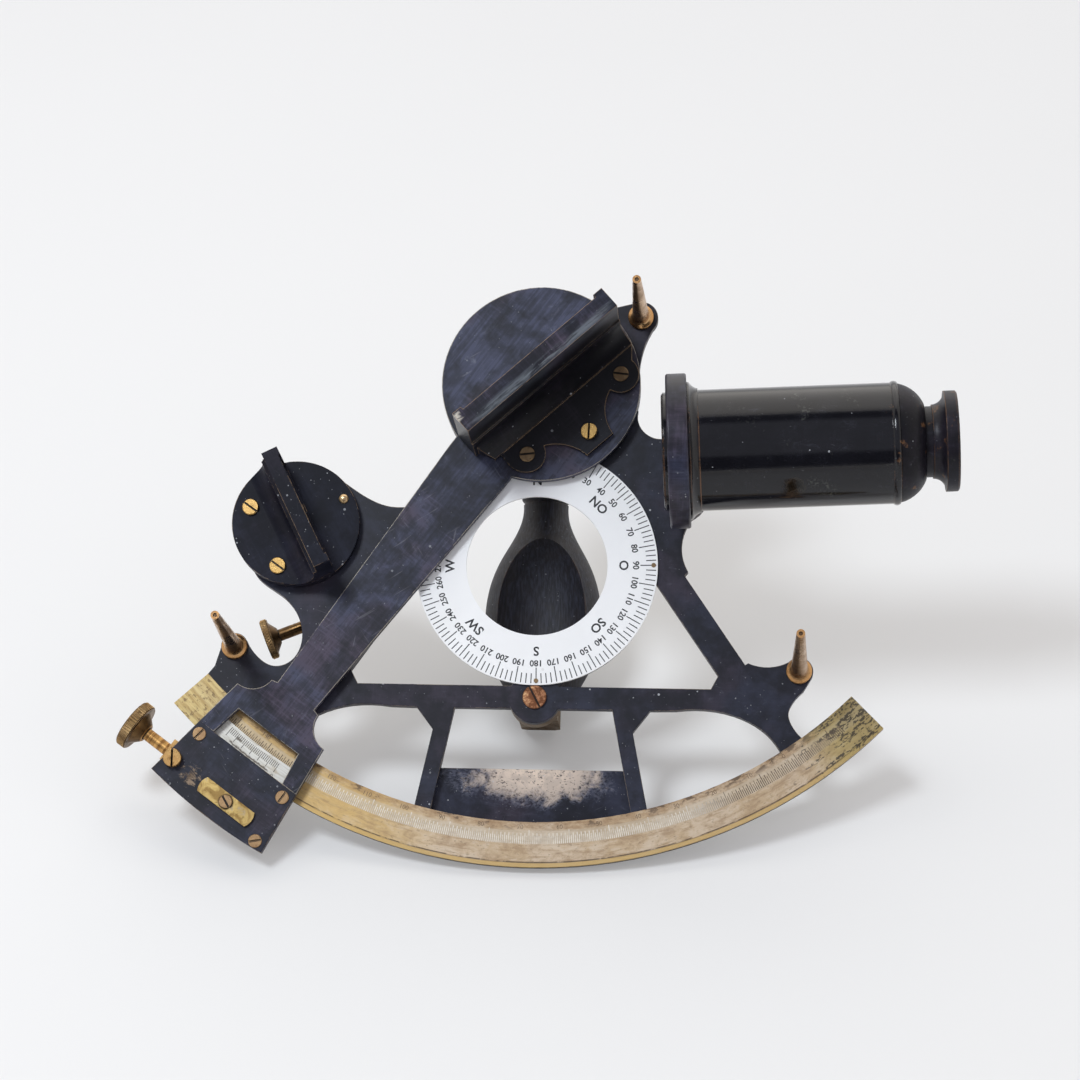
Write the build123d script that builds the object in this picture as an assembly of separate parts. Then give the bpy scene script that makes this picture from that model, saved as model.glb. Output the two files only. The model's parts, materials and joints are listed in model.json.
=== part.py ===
from build123d import *
import os
from math import cos, radians, sin, sqrt

# A vernier sextant, lying face up. Millimetres and degrees throughout.
# Origin: the index-arm pivot axis on the front face of the frame plate.
# +X runs to the right, +Y from the limb towards the pivot, +Z out of the face.
# Angles called "swing" are measured at the pivot from straight down (-Y),
# positive towards +X.

# ---------------------------------------------------------------- clearances
SEAT = 0.05            # radial gap of a fixed round fit
RUN = 0.05             # radial gap of a running fit
FACE_GAP = 0.1         # gap between two flat faces that slide on each other
AIR = 0.3              # gap kept by parts of different bodies that never touch

# ---------------------------------------------------------------- frame plate
FRAME_T = 4.0          # thickness of the frame casting
FRAME_BACK = -FRAME_T  # z of its rear face; the front face is z = 0
HEAD_R = 38.0          # head disc behind the index disc
RING_Y = -70.4         # centre of the compass ring, on the frame's axis
HUB_R = 45.5           # frame disc that carries the compass ring
HUB_BORE_R = 30.0      # opening in that disc
LIMB_OUT_R = 185.5     # outer edge of the graduated limb
LIMB_W = 17.0          # its width
LIMB_IN_R = LIMB_OUT_R - LIMB_W
LIMB_LEFT = -47.4      # swing of the limb's left end
LIMB_RIGHT = 45.35     # swing of its right end
LIMB_T = 2.0           # thickness of the brass limb plate
LIMB_GROOVE_R = LIMB_OUT_R - 1.5     # engraved border line
LIMB_GROOVE_W = 0.3
LIMB_GROOVE_DEPTH = 0.2
CROSS_RISE = 51.8      # the crossbar's upper edge above the limb's inner edge
CROSS_H = 8.6
CROSS_TOP_Y = CROSS_RISE - LIMB_IN_R
CROSS_LOW_Y = CROSS_TOP_Y - CROSS_H
BUMP_XY = (0.4, CROSS_TOP_Y - 4.2)     # round boss on the crossbar
BUMP_R = 9.9
FRAME_UNDERLAP = 6.0   # how far the webs run on beneath the limb

# ---------------------------------------------------------------- legs
# how far each tip has been knocked aside
LEG_LEAN = {"leg_top": (0.0, -1.6), "leg_left": (0.2, 0.7), "leg_right": (-0.2, 3.3)}
LEG_H = 61.0
LEG_FLANGE_R = 4.9
LEG_FLANGE_T = 1.6
LEG_FLANGE_ROUND = 0.6
LEG_FOOT_R = 3.2       # cone radius above the flange
LEG_FLARE = (0.5, 0.7) # swell under the cone, outwards and downwards
LEG_TIP_R = 1.6
LEG_CENTRE = (0.75, 0.5)  # radius and depth of the centre mark in a leg's tip
LEG_SPIGOT_R = 1.6
LEG_SHOULDER_H = 3.4
TOP_LOBE_R = 6.6

# ---------------------------------------------------------------- compass ring
CARD_T = 1.2
CARD_OUT_R = 46.0
CARD_BORE_R = 26.9
CARD_SKEW = 1.1        # the ring sits turned by this much
CARD_PIN_R = 44.4      # radius of the pin circle
CARD_PIN_HEAD_R = 0.85
CARD_PIN_HEAD_H = 0.3
CARD_PIN_SHANK_R = 0.5
CARD_PIN_DEPTH = 2.5

# ---------------------------------------------------------------- plaque
PLAQUE_T = 1.5
PLAQUE_TOP_Y = 20.6 - LIMB_IN_R
PLAQUE_OUT_R = LIMB_IN_R + 2.5
PLAQUE_LOW_Y = PLAQUE_TOP_Y - 32.1     # where its slanted sides would end
PLAQUE_TOP_HALF_W = 39.85
PLAQUE_LOW_HALF_W = 43.7
PLAQUE_SCREWS = ((38.0, PLAQUE_TOP_Y - 3.7), (40.3, PLAQUE_TOP_Y - 13.7))

# ---------------------------------------------------------------- index arm
ARM_SWING = -36.1      # where the arm stands at rest
ARM_Z0 = 1.8           # rear face of the arm
ARM_T = 3.2
ARM_TOP = ARM_Z0 + ARM_T
ARM_HEAD_R = 38.1
ARM_ROOT_HALF_W = 13.2 # half width of the shank by the disc
ARM_ROOT_V = 40.0      # distance from the pivot where that width is measured
ARM_END_HALF_W = 8.8   # half width of the shank at the plate
ARM_END_V = LIMB_IN_R - 16.3
ARM_STEP_HALF_W = 11.2 # shoulder where the cove begins
PLATE_HORN_R = LIMB_IN_R - 5.5     # tip of the two horns
PLATE_OUT_R = LIMB_OUT_R + 23.1    # curved outer edge of the plate
PLATE_HALF_ANGLE = 7.3
COVE_SAG = 2.7         # depth of the cove between shank and horn
SEAM_V = LIMB_OUT_R - 3.9          # joint between arm and cover plate
LAP_T = 1.6            # thickness of the arm under the cover plate
WINDOW_IN_V = LIMB_IN_R + 0.5      # window over the scale
WINDOW_IN_HALF_W = 14.4
WINDOW_OUT_HALF_W = 16.6
VERNIER_IN_V = LIMB_IN_R + 6.7
VERNIER_OUT_V = LIMB_OUT_R + 5.0
VERNIER_HALF_W = 21.6
VERNIER_T = 1.5
COVER_SCREW_AT = [(-20.2, LIMB_OUT_R + 0.1), (19.8, LIMB_OUT_R + 0.1), (21.9, LIMB_OUT_R + 19.2)]
SMALL_HEAD_R = 2.55
SMALL_HEAD_H = 0.6
SMALL_SHANK_R = 1.2
TAB_MID = (4.1, LIMB_OUT_R + 14.3)
TAB_SIZE = (24.4, 6.4, 1.2)
TAB_END_R = 5.8
TAB_SCREW_U = TAB_MID[0]
TAB_HEAD_R = 2.5
TAB_HEAD_H = 1.4

# ---------------------------------------------------------------- index axle
BEARING_R = 8.0
BEARING_FLANGE_R = 14.0
BEARING_FLANGE_T = 3.0
BEARING_LOW_Z = -16.0
BEARING_SCREW_OUT = 3.2    # its screws stand this far outside the bearing
AXLE_R = 5.0
AXLE_SPIGOT_R = 4.0
AXLE_THREAD_R = 3.0
AXLE_LOW_Z = -23.0
AXLE_NUT_AF = 13.0
AXLE_NUT_T = 5.5

# ---------------------------------------------------------------- index mirror
MIRROR_TURN = 42.1     # direction of the mirror's length, from +X
MIRROR_P = (-37.5, 35.9)   # its two ends along that direction
MIRROR_TOP_Z = 45.0
MIRROR_BACK_N = 4.85   # rear of the top rail, behind the pivot
MIRROR_RAIL_N = -2.9   # front of the top rail
MIRROR_LIP_N = -4.2    # front of the two end lips
MIRROR_LIP_L = 4.1
MIRROR_GLASS_T = 3.5
MIRROR_CAP_T = 1.5
MIRROR_LIP_HOLD = 1.6  # how far each lip covers the glass
MIRROR_SEAT_H = 1.8    # the glass stands this far above the foot
MIRROR_TOE_N = 11.7    # foot of the coved back
MIRROR_TOE_H = 1.1
MIRROR_RIB_Z = (22.8, 25.0)
MIRROR_RIB_N = 0.7     # how far the rib stands proud of the back
MIRROR_CUT = (1.5, 5.2)    # trimmed off the toe's left corner
BRACKET_BASE_T = 2.2
BRACKET_LOBES = [(-22.4, 18.1), (25.0, 17.8)]
BRACKET_LOBE_R = 7.0
BRACKET_TONGUE_N = 33.4
BRACKET_TONGUE_HALF = 6.5
BRACKET_TONGUE_P = 1.1
BRACKET_HEAD_R = 2.95
BRACKET_HEAD_H = 1.0
ADJUST_AT = (1.1, 26.9)
ADJUST_HEAD_R = 3.1
ADJUST_HEAD_H = 2.2
BRACKET_SHANK_R = 1.3

# ---------------------------------------------------------------- horizon mirror
HORIZON_XY = (-92.3, -55.9)
HORIZON_TURN = 26.5    # direction the glass faces, from +X
HORIZON_R = 24.3
HORIZON_DISC_T = 3.0
HORIZON_BASE_T = 2.7
HORIZON_TOP_Z = 27.0
HORIZON_M = (-0.65, 5.0)   # back and front of the top rail
HORIZON_LIP_M = 5.75
HORIZON_Q = (-24.6, 23.8)  # ends of the rail, positive away from +Y
HORIZON_LIP_L = 3.2
HORIZON_LIP_HOLD = 1.4
HORIZON_SEAT_H = 1.6
HORIZON_GLASS_T = 3.0
HORIZON_CAP_T = 1.4
HORIZON_COVE_M = -8.85
HORIZON_SCREW_M = -13.1
HORIZON_SCREW_Q = 12.6
HORIZON_HEAD_R = 3.1
HORIZON_HEAD_H = 1.3
HORIZON_PIN_AT = (20.4, -0.9)
HORIZON_PIN_R = 1.9
HORIZON_PIN_H = 1.3
BUSH_R = 7.0
BUSH_FLANGE_R = 10.0
BUSH_FLANGE_T = 2.0
BUSH_LOW_Z = -7.4
HORIZON_AXLE_R = 4.0
HORIZON_SPIGOT_R = 3.0
LEVER_T = 2.8
LEVER_HUB_R = 7.0
LEVER_END_W = 7.0
LEVER_NUT_AF = 10.0
LEVER_NUT_T = 2.8

# ---------------------------------------------------------------- horizon adjusting screw
ADJUSTER_Z = -12.0
ADJUSTER_TURN = 21.9   # direction of the spindle, from +X
ADJUSTER_KNOB_R = 7.85
ADJUSTER_KNOB_T = 2.9
ADJUSTER_SHAFT_R = 2.3
ADJUSTER_EDGE = 0.3
ADJUSTER_BOSS = (6.2, 2.9, 2.6)    # its radii at the knob and at its tip, its length
ADJUSTER_TIP = 5.7     # the spindle runs on this far beyond the lever
ADJUSTER_NUT_GAP = 0.35    # play that lets the lever swing on the spindle
ADJUSTER_NUT_HALF = 3.3
ADJUSTER_NUT_HALF_W = 4.2
ADJUSTER_NUT_DROP = 4.4    # metal below the spindle's axis
ADJUSTER_BLOCK_DROP = 4.6
ADJUSTER_FOOT_LIP = 2.0
ADJUSTER_BLOCK_S = (15.8, 19.3)
ADJUSTER_BLOCK_W = 9.0
ADJUSTER_FOOT_L = 15.5
ADJUSTER_SCREWS = (-7.6, -12.6)

# ---------------------------------------------------------------- tangent screw and clamp
TANGENT_V = LIMB_OUT_R + 11.8
TANGENT_Z = -3.5
TANGENT_KNOB_U = -43.4
TANGENT_KNOB_R = 9.65
TANGENT_KNOB_T = 4.0
TANGENT_SHAFT_R = 2.45
TANGENT_BOSS = (7.0, 3.6, 3.4)
TANGENT_TIP_U = 16.0
TANGENT_BLOCK_U = (-27.0, -19.0)
TANGENT_BLOCK_W = 9.4
TANGENT_BLOCK_LOW_Z = -8.2
TANGENT_SCREW_AT = (-22.3, TANGENT_V + 1.7)
TANGENT_HEAD_R = 3.45
TANGENT_HEAD_H = 3.2
TANGENT_SHANK_R = 1.5
TANGENT_SHANK_LOW_Z = -0.6
CARRIAGE_NUT_U = (0.0, 9.0)
CARRIAGE_U = (-6.5, 9.0)
CARRIAGE_IN_V = LIMB_IN_R + 4.1
CARRIAGE_WALL_V = LIMB_OUT_R + 1.5
CARRIAGE_WALL_T = 3.0
CARRIAGE_NUT_SET = 6.0     # the nut block starts this far outside the wall's inner face
CARRIAGE_LOW_Z = -9.0
JAW_TOP_Z = -5.6
CLAMP_UV = (1.3, LIMB_OUT_R - 6.5)
CLAMP_SCREW_R = 2.0
CLAMP_KNOB_R = 7.0
CLAMP_KNOB_T = 5.0
CLAMP_KNOB_LOW_Z = -17.5
CLAMP_BOSS = (4.4, 3.0, 2.4)

# ---------------------------------------------------------------- telescope
SCOPE_XYZ = (47.7, -32.0, 30.2)   # front of the objective cell, on the axis
SCOPE_TURN = 3.05      # direction of the optical axis, from +X
BARREL_R = 22.7
BARREL_WALL = 2.1
BARREL_BORE_R = BARREL_R - BARREL_WALL
BARREL_S = (13.8, 85.5)
THREAD_R = BARREL_R - 0.5      # barrel inside the collar
COLLAR_S = (1.9, 9.7)
COLLAR_R = BARREL_R + 6.4
COLLAR_ROUND = 0.9
MOULD_R = BARREL_R + 3.1
CELL_R = BARREL_R - 1.0
CELL_BORE_R = BARREL_R - 4.1
CELL_WALL = 1.6
CELL_FLANGE_T = 0.6
CELL_NECK_S = 1.6      # station where the cell's neck ends
LENS_SEAT_R = CELL_BORE_R + CELL_WALL
LENS_SEAT_S = 5.4      # station of the shoulder behind the objective
LENS_LIP = (CELL_BORE_R + 0.3, 1.0)    # radius and thickness of that shoulder
LENS_S = 3.7           # middle of the objective
LENS_EDGE_T = 3.0
LENS_BULGE = 0.8
BEAD_END_S = 88.1
BEAD_R = BARREL_R + 0.5
DOME_S = (88.1, 97.9)
DOME_R = BARREL_R - 0.4
DOME_END_R = 14.3
PLUG_L = 6.0           # spigot of the rear cap inside the barrel
DRAW_R = 13.3
DRAW_BORE_R = 10.8
DRAW_IN_S = 76.0
CUP_S = (100.6, 110.1)
CUP_RIM_S = 105.2
CUP_RIM_R = 18.9
CUP_SOCKET = 2.0       # the draw tube reaches this far into the cup
CUP_HOLE_R = 7.4
CUP_DISH = 3.4         # depth of the dish round the hole
EYE_LENS_SET = 0.6     # the eye lens's middle, inside the cup's front face
EYE_LENS_EDGE_T = 2.6
EYE_LENS_BULGE = 0.7
STEM_S = (2.4, 9.2)
STEM_HALF_W = 6.0
STEM_TOP_Z = 6.0
STEM_LOW_Z = -12.7
STEM_ROD_R = 2.5
STEM_ROD_LOW_Z = -31.0
SOCKET_WALL = 4.0
SOCKET_LOW_Z = -16.0
SOCKET_FLOOR_T = 3.0
SOCKET_FLANGE = 6.0
SOCKET_FLANGE_HALF_W = 6.0
FLANGE_T = 3.0
COLLAR_NUT_R = 9.0
COLLAR_NUT_T = 5.5
COLLAR_NUT_HUB = (6.0, 1.2)    # radius and height of the hub on the nut

# ---------------------------------------------------------------- handle
GRIP_X = 0.8
GRIP_Z = -40.0
GRIP_TOP_Y = -33.5
GRIP_LOW_Y = BUMP_XY[1] + 3.7
GRIP_R = 22.6
SCOOP_Y = -86.5
SCOOP_Z = -20.0
SCOOP_RADII = (18.0, 36.0, 16.0)
ROD_R = 2.5
PILLAR_LOW_Z = -11.0
FOOT_BLOCK = (15.0, 8.9)
FOOT_BLOCK_LOW_Z = -46.0
BRACKET_W = 15.0
BRACKET_DEPTH = 8.0
BRACKET_LOW_Z = -47.0
GRIP_NUT_AF = 9.0
GRIP_NUT_T = 4.0
ROD_SKIN = 3.0         # wall of the foot block beyond the rod's end
ROD_PROUD = 1.0
BIG_HEAD_R = 4.5
BIG_HEAD_H = 1.2
BIG_SHANK_R = 2.5
BIG_SHANK_LOW_Z = -30.0
SUNK_HEAD_R = 3.0
SUNK_HEAD_T = 1.5
SUNK_SHANK_R = 1.7
SUNK_SHANK_LOW_Z = -18.0

# ---------------------------------------------------------------- small fasteners
BACK_HEAD_R = 1.9
BACK_HEAD_H = 1.1
BACK_SHANK_R = 1.1
BACK_SHANK_L = 5.0
RIVET_R = 1.2
RIVET_HEAD_R = 2.3
RIVET_HEAD_T = 1.1
RIVET_BITE = 1.2       # how far a rivet reaches into the limb plate
RIVET_SWINGS = [-43, -31, -19, -7, 7, 19, 31, 42]
SLOT_W = 0.8
SLOT_SHARE = 0.7       # a slot's depth in its head's height
HOLE_FLOOR = 0.4       # metal left under a blind hole
TIP_PLAY = 0.1         # room between a screw's tip and that metal
THROUGH_TIP = 0.2      # a screw's tip above the rear face of what it clamps
KNOB_EDGE = 0.4        # edge break of the larger knobs


# ================================================================ helpers
def swing_point(radius, swing):
    """A point at a radius from the pivot and a swing from straight down."""
    return (radius * sin(radians(swing)), -radius * cos(radians(swing)))


def near_limb(inside, swing):
    """A point that far inside the limb's inner edge, at a swing."""
    return swing_point(LIMB_IN_R - inside, swing)


def trace(start, *runs):
    """A face bounded by runs: one point is a line, two an arc, more a spline."""
    edges = []
    here = start
    for run in runs:
        if len(run) == 1:
            edges.append(Line(here, run[0]))
        elif len(run) == 2:
            edges.append(ThreePointArc(here, run[0], run[1]))
        else:
            edges.append(Spline(here, *run))
        here = run[-1]
    edges.append(Line(here, start))
    return make_face(Wire(edges))


def slab(face, low, high):
    """A face raised between two heights."""
    return extrude(Pos(0, 0, low) * face, amount=high - low, dir=(0, 0, 1))


def disc(radius, x=0.0, y=0.0):
    return Pos(x, y) * Circle(radius)


def rod(radius, low, high, x=0.0, y=0.0):
    return Pos(x, y, (low + high) / 2) * Cylinder(radius, high - low)


def bar(x_span, y_span, z_span):
    """A box between three pairs of limits."""
    spans = (x_span, y_span, z_span)
    middle = [(low + high) / 2 for low, high in spans]
    return Pos(*middle) * Box(*[high - low for low, high in spans])


def lathe(*profile):
    """A solid turned about X from (station, radius) points; the axis closes it."""
    face = make_face(Polyline(*profile, close=True))
    return revolve(face, Axis.X)


def spun(*profile):
    """The same, turned about Z from (radius, height) points."""
    points = [(radius, 0, height) for radius, height in profile]
    return revolve(make_face(Polyline(*points, close=True)), Axis.Z)


def hexagon(across_flats, low, high, x=0.0, y=0.0):
    corner = across_flats / 2 / cos(radians(30))
    return slab(Pos(x, y) * RegularPolygon(corner, 6), low, high)


def slotted_head(radius, height, slot_turn, z=0.0, x=0.0, y=0.0):
    """A flat screw head standing on a face at height z."""
    head = rod(radius, z, z + height, x, y)
    rim = head.edges().filter_by(GeomType.CIRCLE).sort_by(Axis.Z)[-1]
    head = chamfer(rim, min(0.25, height / 3))
    slot = Rot(0, 0, slot_turn) * Box(2.4 * radius, SLOT_W, 2 * SLOT_SHARE * height)
    return head - Pos(x, y, z + height) * slot


def screw(head_r, head_h, shank_r, shank_low, slot_turn, z, x=0.0, y=0.0):
    """A slotted screw: its head on the face at z, its shank down to shank_low."""
    head = slotted_head(head_r, head_h, slot_turn, z, x, y)
    return head + rod(shank_r, shank_low, z, x, y)


def back_screw(x, y, face_z, slot_turn=0):
    """A small screw driven from behind into a part whose rear face is face_z."""
    body = screw(BACK_HEAD_R, BACK_HEAD_H, BACK_SHANK_R, -BACK_SHANK_L, slot_turn, 0)
    return Pos(x, y, face_z) * Rot(180, 0, 0) * body


def back_screw_hole(x, y, face_z):
    return rod(BACK_SHANK_R + SEAT, face_z, face_z + BACK_SHANK_L + SEAT, x, y)


LEG_XY = {"leg_top": (37.5, 27.9), "leg_left": near_limb(14.30, -47.84), "leg_right": near_limb(20.29, 42.48)}
ADJUSTER_XYZ = (*near_limb(26.48, -46.26), ADJUSTER_Z)    # centre of its knob


def on_arm(shape):
    """From the arm's own frame, where it hangs straight down, to its rest place."""
    return Rot(0, 0, ARM_SWING) * shape


def on_mirror(shape):
    """From the index mirror's frame: X along it, -Y behind it."""
    return Rot(0, 0, MIRROR_TURN) * shape


def on_horizon(shape):
    """From the horizon mirror's frame: +X the way the glass faces."""
    return Pos(*HORIZON_XY, 0) * Rot(0, 0, HORIZON_TURN) * shape


def on_scope(shape):
    """From the telescope's frame: X along the axis from the objective."""
    return Pos(*SCOPE_XYZ) * Rot(0, 0, SCOPE_TURN) * shape


def under_scope(shape):
    """The telescope's frame, dropped to the level of the frame face."""
    return Pos(SCOPE_XYZ[0], SCOPE_XYZ[1], 0) * Rot(0, 0, SCOPE_TURN) * shape


def on_adjuster(shape):
    return Pos(*ADJUSTER_XYZ) * Rot(0, 0, ADJUSTER_TURN) * shape


def under_adjuster(shape):
    return Pos(ADJUSTER_XYZ[0], ADJUSTER_XYZ[1], 0) * Rot(0, 0, ADJUSTER_TURN) * shape


def xy_of(placed):
    """Where a placed location's origin falls in plan."""
    middle = placed.center()
    return (middle.X, middle.Y)


# ================================================================ frame
STRUT = {
    "inner_top": (29.8, CROSS_LOW_Y), "inner_low": (37.6, 4.8 - LIMB_IN_R),
    "outer_top": (44.2, CROSS_LOW_Y), "chamfer": (37.8, CROSS_LOW_Y - 8.4),
    "outer_low": (43.7, 6.1 - LIMB_IN_R),
}


def mirrored(point):
    return (-point[0], point[1])


def lower_edge(side):
    """Runs from the limb to the frame's axis along the underside of one half."""
    flip = (lambda p: p) if side > 0 else mirrored
    beyond = LIMB_IN_R + FRAME_UNDERLAP
    return [
        [flip(swing_point(beyond, 33.6))], [flip(near_limb(0.56, 33.71))],
        [flip(near_limb(12.29, 33.01)), flip(near_limb(21.61, 30.70)),
         flip((63.4, CROSS_LOW_Y + 0.8)), flip((54.0, CROSS_LOW_Y + 0.2))],
        [flip(STRUT["outer_top"])], [flip(STRUT["chamfer"])], [flip(STRUT["outer_low"])],
        [flip(swing_point(beyond, 14.9))], [flip(swing_point(beyond, 12.9))],
        [flip(STRUT["inner_low"])], [flip(STRUT["inner_top"])], [(0, CROSS_LOW_Y)],
    ]


def frame_right():
    """Telescope lug, right limb and right leg lobe."""
    leg_x, leg_y = LEG_XY["leg_right"]
    return trace(
        (0, -20), [(37.3, -9.0)], [(39.5, -17.2), (46.0, -20.0)], [(58.0, -20.0)],
        [(63.2, -22.0), (65.0, -27.0)], [(65.0, -41.0)], [(63.0, -47.0), (58.6, -51.0)],
        [(55.0, -60.5), (57.5, -71.6)], [(56.2, -73.2)], [near_limb(34.92, 36.63)], [near_limb(34.82, 37.19)],
        [near_limb(28.76, 39.45), (leg_x - 4.0, leg_y + 3.5)],
        [(leg_x + 3.7, leg_y + 3.8), (leg_x + 4.8, leg_y - 2.2)], [near_limb(13.56, 41.07)],
        [near_limb(12.79, 39.00), near_limb(10.31, 37.50), near_limb(5.94, 36.90), near_limb(0.18, 36.96)],
        [swing_point(LIMB_IN_R + FRAME_UNDERLAP, 37.0)], *lower_edge(1))


def frame_left():
    """Horizon web, bay, left leg lobe and left limb."""
    leg_x, leg_y = LEG_XY["leg_left"]
    return trace(
        (0, -47), [(-39.0, -47.0)],
        [(-51.8, -48.2), (-56.9, -48.0), (-63.2, -46.0), (-71.0, -41.4), (-78.5, -36.2)],
        [HORIZON_XY], [(-108.5, -73.6)],
        [(-104.6, -78.3), near_limb(40.70, -48.97), near_limb(39.37, -44.12), near_limb(34.98, -41.63),
         near_limb(25.65, -40.51), near_limb(20.13, -41.80), near_limb(18.23, -44.38),
         near_limb(19.37, -47.47)],
        [(leg_x - 0.6, leg_y + 5.3), (leg_x - 5.2, leg_y - 0.3)], [near_limb(3.86, -47.61)],
        [swing_point(LIMB_IN_R, LIMB_LEFT)], [swing_point(LIMB_IN_R + FRAME_UNDERLAP, LIMB_LEFT)],
        *lower_edge(-1))


def top_lobe():
    """The lobe beside the head that carries the top leg."""
    x, y = LEG_XY["leg_top"]
    low = TOP_LOBE_R * sin(radians(45))
    return trace(
        (20, 20), [(22.8, 30.4)], [(x - 1.9, y + 5.8)],
        [(x + TOP_LOBE_R, y), (x + low, y - low)], [(39.2, 16.6), (37.4, 6.0)])


def limb_sector(inner, outer):
    """A ring sector over the whole of the graduated limb."""
    middle = (LIMB_LEFT + LIMB_RIGHT) / 2
    return trace(
        swing_point(inner, LIMB_LEFT),
        [swing_point(inner, middle), swing_point(inner, LIMB_RIGHT)],
        [swing_point(outer, LIMB_RIGHT)],
        [swing_point(outer, middle), swing_point(outer, LIMB_LEFT)])


def triangle(side):
    """One of the two large openings between hub, limb and crossbar."""
    points = [(30, -80), (45.2, -76.1), (69.6, CROSS_TOP_Y + 5.2), (66.9, CROSS_TOP_Y),
              (0, CROSS_TOP_Y), (0, RING_Y)]
    face = make_face(Polyline(*[(side * x, y) for x, y in points], close=True))
    return face - disc(HUB_R, 0, RING_Y) - disc(BUMP_R, *BUMP_XY)


def bearing_screw_points():
    return [swing_point(BEARING_R + BEARING_SCREW_OUT, swing) for swing in (60, 180, 300)]


def plaque_screw_points():
    return [(side * x, y) for side in (-1, 1) for x, y in PLAQUE_SCREWS]


def socket_screw_points():
    mid_s = (STEM_S[0] + STEM_S[1]) / 2
    reach = (STEM_S[1] - STEM_S[0]) / 2 + SOCKET_WALL + SOCKET_FLANGE / 2
    return [xy_of(under_scope(Pos(mid_s + side * reach, 0, 0) * Box(1, 1, 1))) for side in (-1, 1)]


def adjuster_screw_points():
    mid_s = (sum(ADJUSTER_BLOCK_S) + ADJUSTER_FOOT_LIP) / 2
    return [xy_of(under_adjuster(Pos(mid_s, across, 0) * Box(1, 1, 1))) for across in ADJUSTER_SCREWS]


def back_screw_table():
    """Every small screw of the frame's back: its place and the face it bears on."""
    table = [(x, y, FRAME_BACK - BEARING_FLANGE_T) for x, y in bearing_screw_points()]
    table += [(x, y, FRAME_BACK - FLANGE_T) for x, y in socket_screw_points()]
    table += [(x, y, FRAME_BACK - FLANGE_T) for x, y in adjuster_screw_points()]
    table += [(x, y, FRAME_BACK - PLAQUE_T) for x, y in plaque_screw_points()]
    return table


def card_pin_points():
    angles = [CARD_SKEW + quarter * 90 for quarter in range(4)]
    return [(-CARD_PIN_R * sin(radians(a)), RING_Y + CARD_PIN_R * cos(radians(a))) for a in angles]


def stem_slot(low, high, gap):
    """The rectangular way of the collar stem."""
    return under_scope(bar((STEM_S[0] - gap, STEM_S[1] + gap),
                           (-STEM_HALF_W - gap, STEM_HALF_W + gap), (low, high)))


def frame_plate():
    face = disc(HEAD_R) + disc(HUB_R, 0, RING_Y) + top_lobe() + frame_right() + frame_left()
    face = face + disc(HORIZON_R - AIR, *HORIZON_XY) + disc(BUMP_R, *BUMP_XY)
    face = face - triangle(1) - triangle(-1) - disc(HUB_BORE_R, 0, RING_Y)
    upper = slab(face & disc(LIMB_IN_R), FRAME_BACK, 0)
    lower = slab(face & disc(LIMB_IN_R + FRAME_UNDERLAP / 2), FRAME_BACK, -LIMB_T)
    plate = upper + lower + slab(limb_sector(LIMB_IN_R, LIMB_OUT_R), FRAME_BACK, -LIMB_T)
    deep = FRAME_BACK - 1
    plate -= rod(BEARING_R + SEAT, deep, 1)
    plate -= rod(BUSH_R + SEAT, deep, 1, *HORIZON_XY)
    plate -= rod(BIG_SHANK_R + SEAT, deep, 1, *BUMP_XY)
    plate -= sunk_screw(SEAT)
    plate -= stem_slot(deep, 1, 2 * RUN)
    for x, y in LEG_XY.values():
        plate -= rod(LEG_SPIGOT_R + SEAT, deep, 1, x, y)
    for x, y in card_pin_points():
        plate -= rod(CARD_PIN_SHANK_R + SEAT, -CARD_PIN_DEPTH - SEAT, 1, x, y)
    for x, y, face_z in back_screw_table():
        plate -= back_screw_hole(x, y, face_z)
    for swing in RIVET_SWINGS:
        plate -= limb_rivet(swing, SEAT)
    return plate


def limb_arc():
    plate = slab(limb_sector(LIMB_IN_R, LIMB_OUT_R), -LIMB_T, 0)
    half = LIMB_GROOVE_W / 2
    groove = disc(LIMB_GROOVE_R + half) - disc(LIMB_GROOVE_R - half)
    plate -= slab(groove, -LIMB_GROOVE_DEPTH, 1)
    for swing in RIVET_SWINGS:
        plate -= limb_rivet(swing, SEAT)
    return plate


def limb_rivet(swing, gap=0.0):
    """A countersunk rivet from behind that holds the limb plate."""
    x, y = swing_point((LIMB_IN_R + LIMB_OUT_R) / 2, swing)
    tip = -LIMB_T + RIVET_BITE
    body = spun((0, FRAME_BACK), (RIVET_HEAD_R + gap, FRAME_BACK),
                (RIVET_R + gap, FRAME_BACK + RIVET_HEAD_T), (RIVET_R + gap, tip + gap), (0, tip + gap))
    return Pos(x, y, 0) * body


def limb_rivets():
    return [limb_rivet(swing) for swing in RIVET_SWINGS]


def compass_ring():
    ring = slab(disc(CARD_OUT_R, 0, RING_Y) - disc(CARD_BORE_R, 0, RING_Y), 0, CARD_T)
    for x, y in card_pin_points():
        ring -= rod(CARD_PIN_SHANK_R + SEAT, -1, CARD_T + 1, x, y)
    return ring


def ring_pins():
    pins = []
    for x, y in card_pin_points():
        head = rod(CARD_PIN_HEAD_R, CARD_T, CARD_T + CARD_PIN_HEAD_H, x, y)
        pins.append(head + rod(CARD_PIN_SHANK_R, -CARD_PIN_DEPTH, CARD_T, x, y))
    return pins


def souvenir_plate():
    """The plate fixed behind the two struts, its face level with their backs."""
    top_x, low_x = PLAQUE_TOP_HALF_W, PLAQUE_LOW_HALF_W
    face = trace((-top_x, PLAQUE_TOP_Y), [(top_x, PLAQUE_TOP_Y)], [(low_x, PLAQUE_LOW_Y)],
                 [(-low_x, PLAQUE_LOW_Y)])
    plate = slab(face & disc(PLAQUE_OUT_R), FRAME_BACK - PLAQUE_T, FRAME_BACK)
    for x, y in plaque_screw_points():
        plate -= back_screw_hole(x, y, FRAME_BACK - PLAQUE_T)
    return plate


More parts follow.
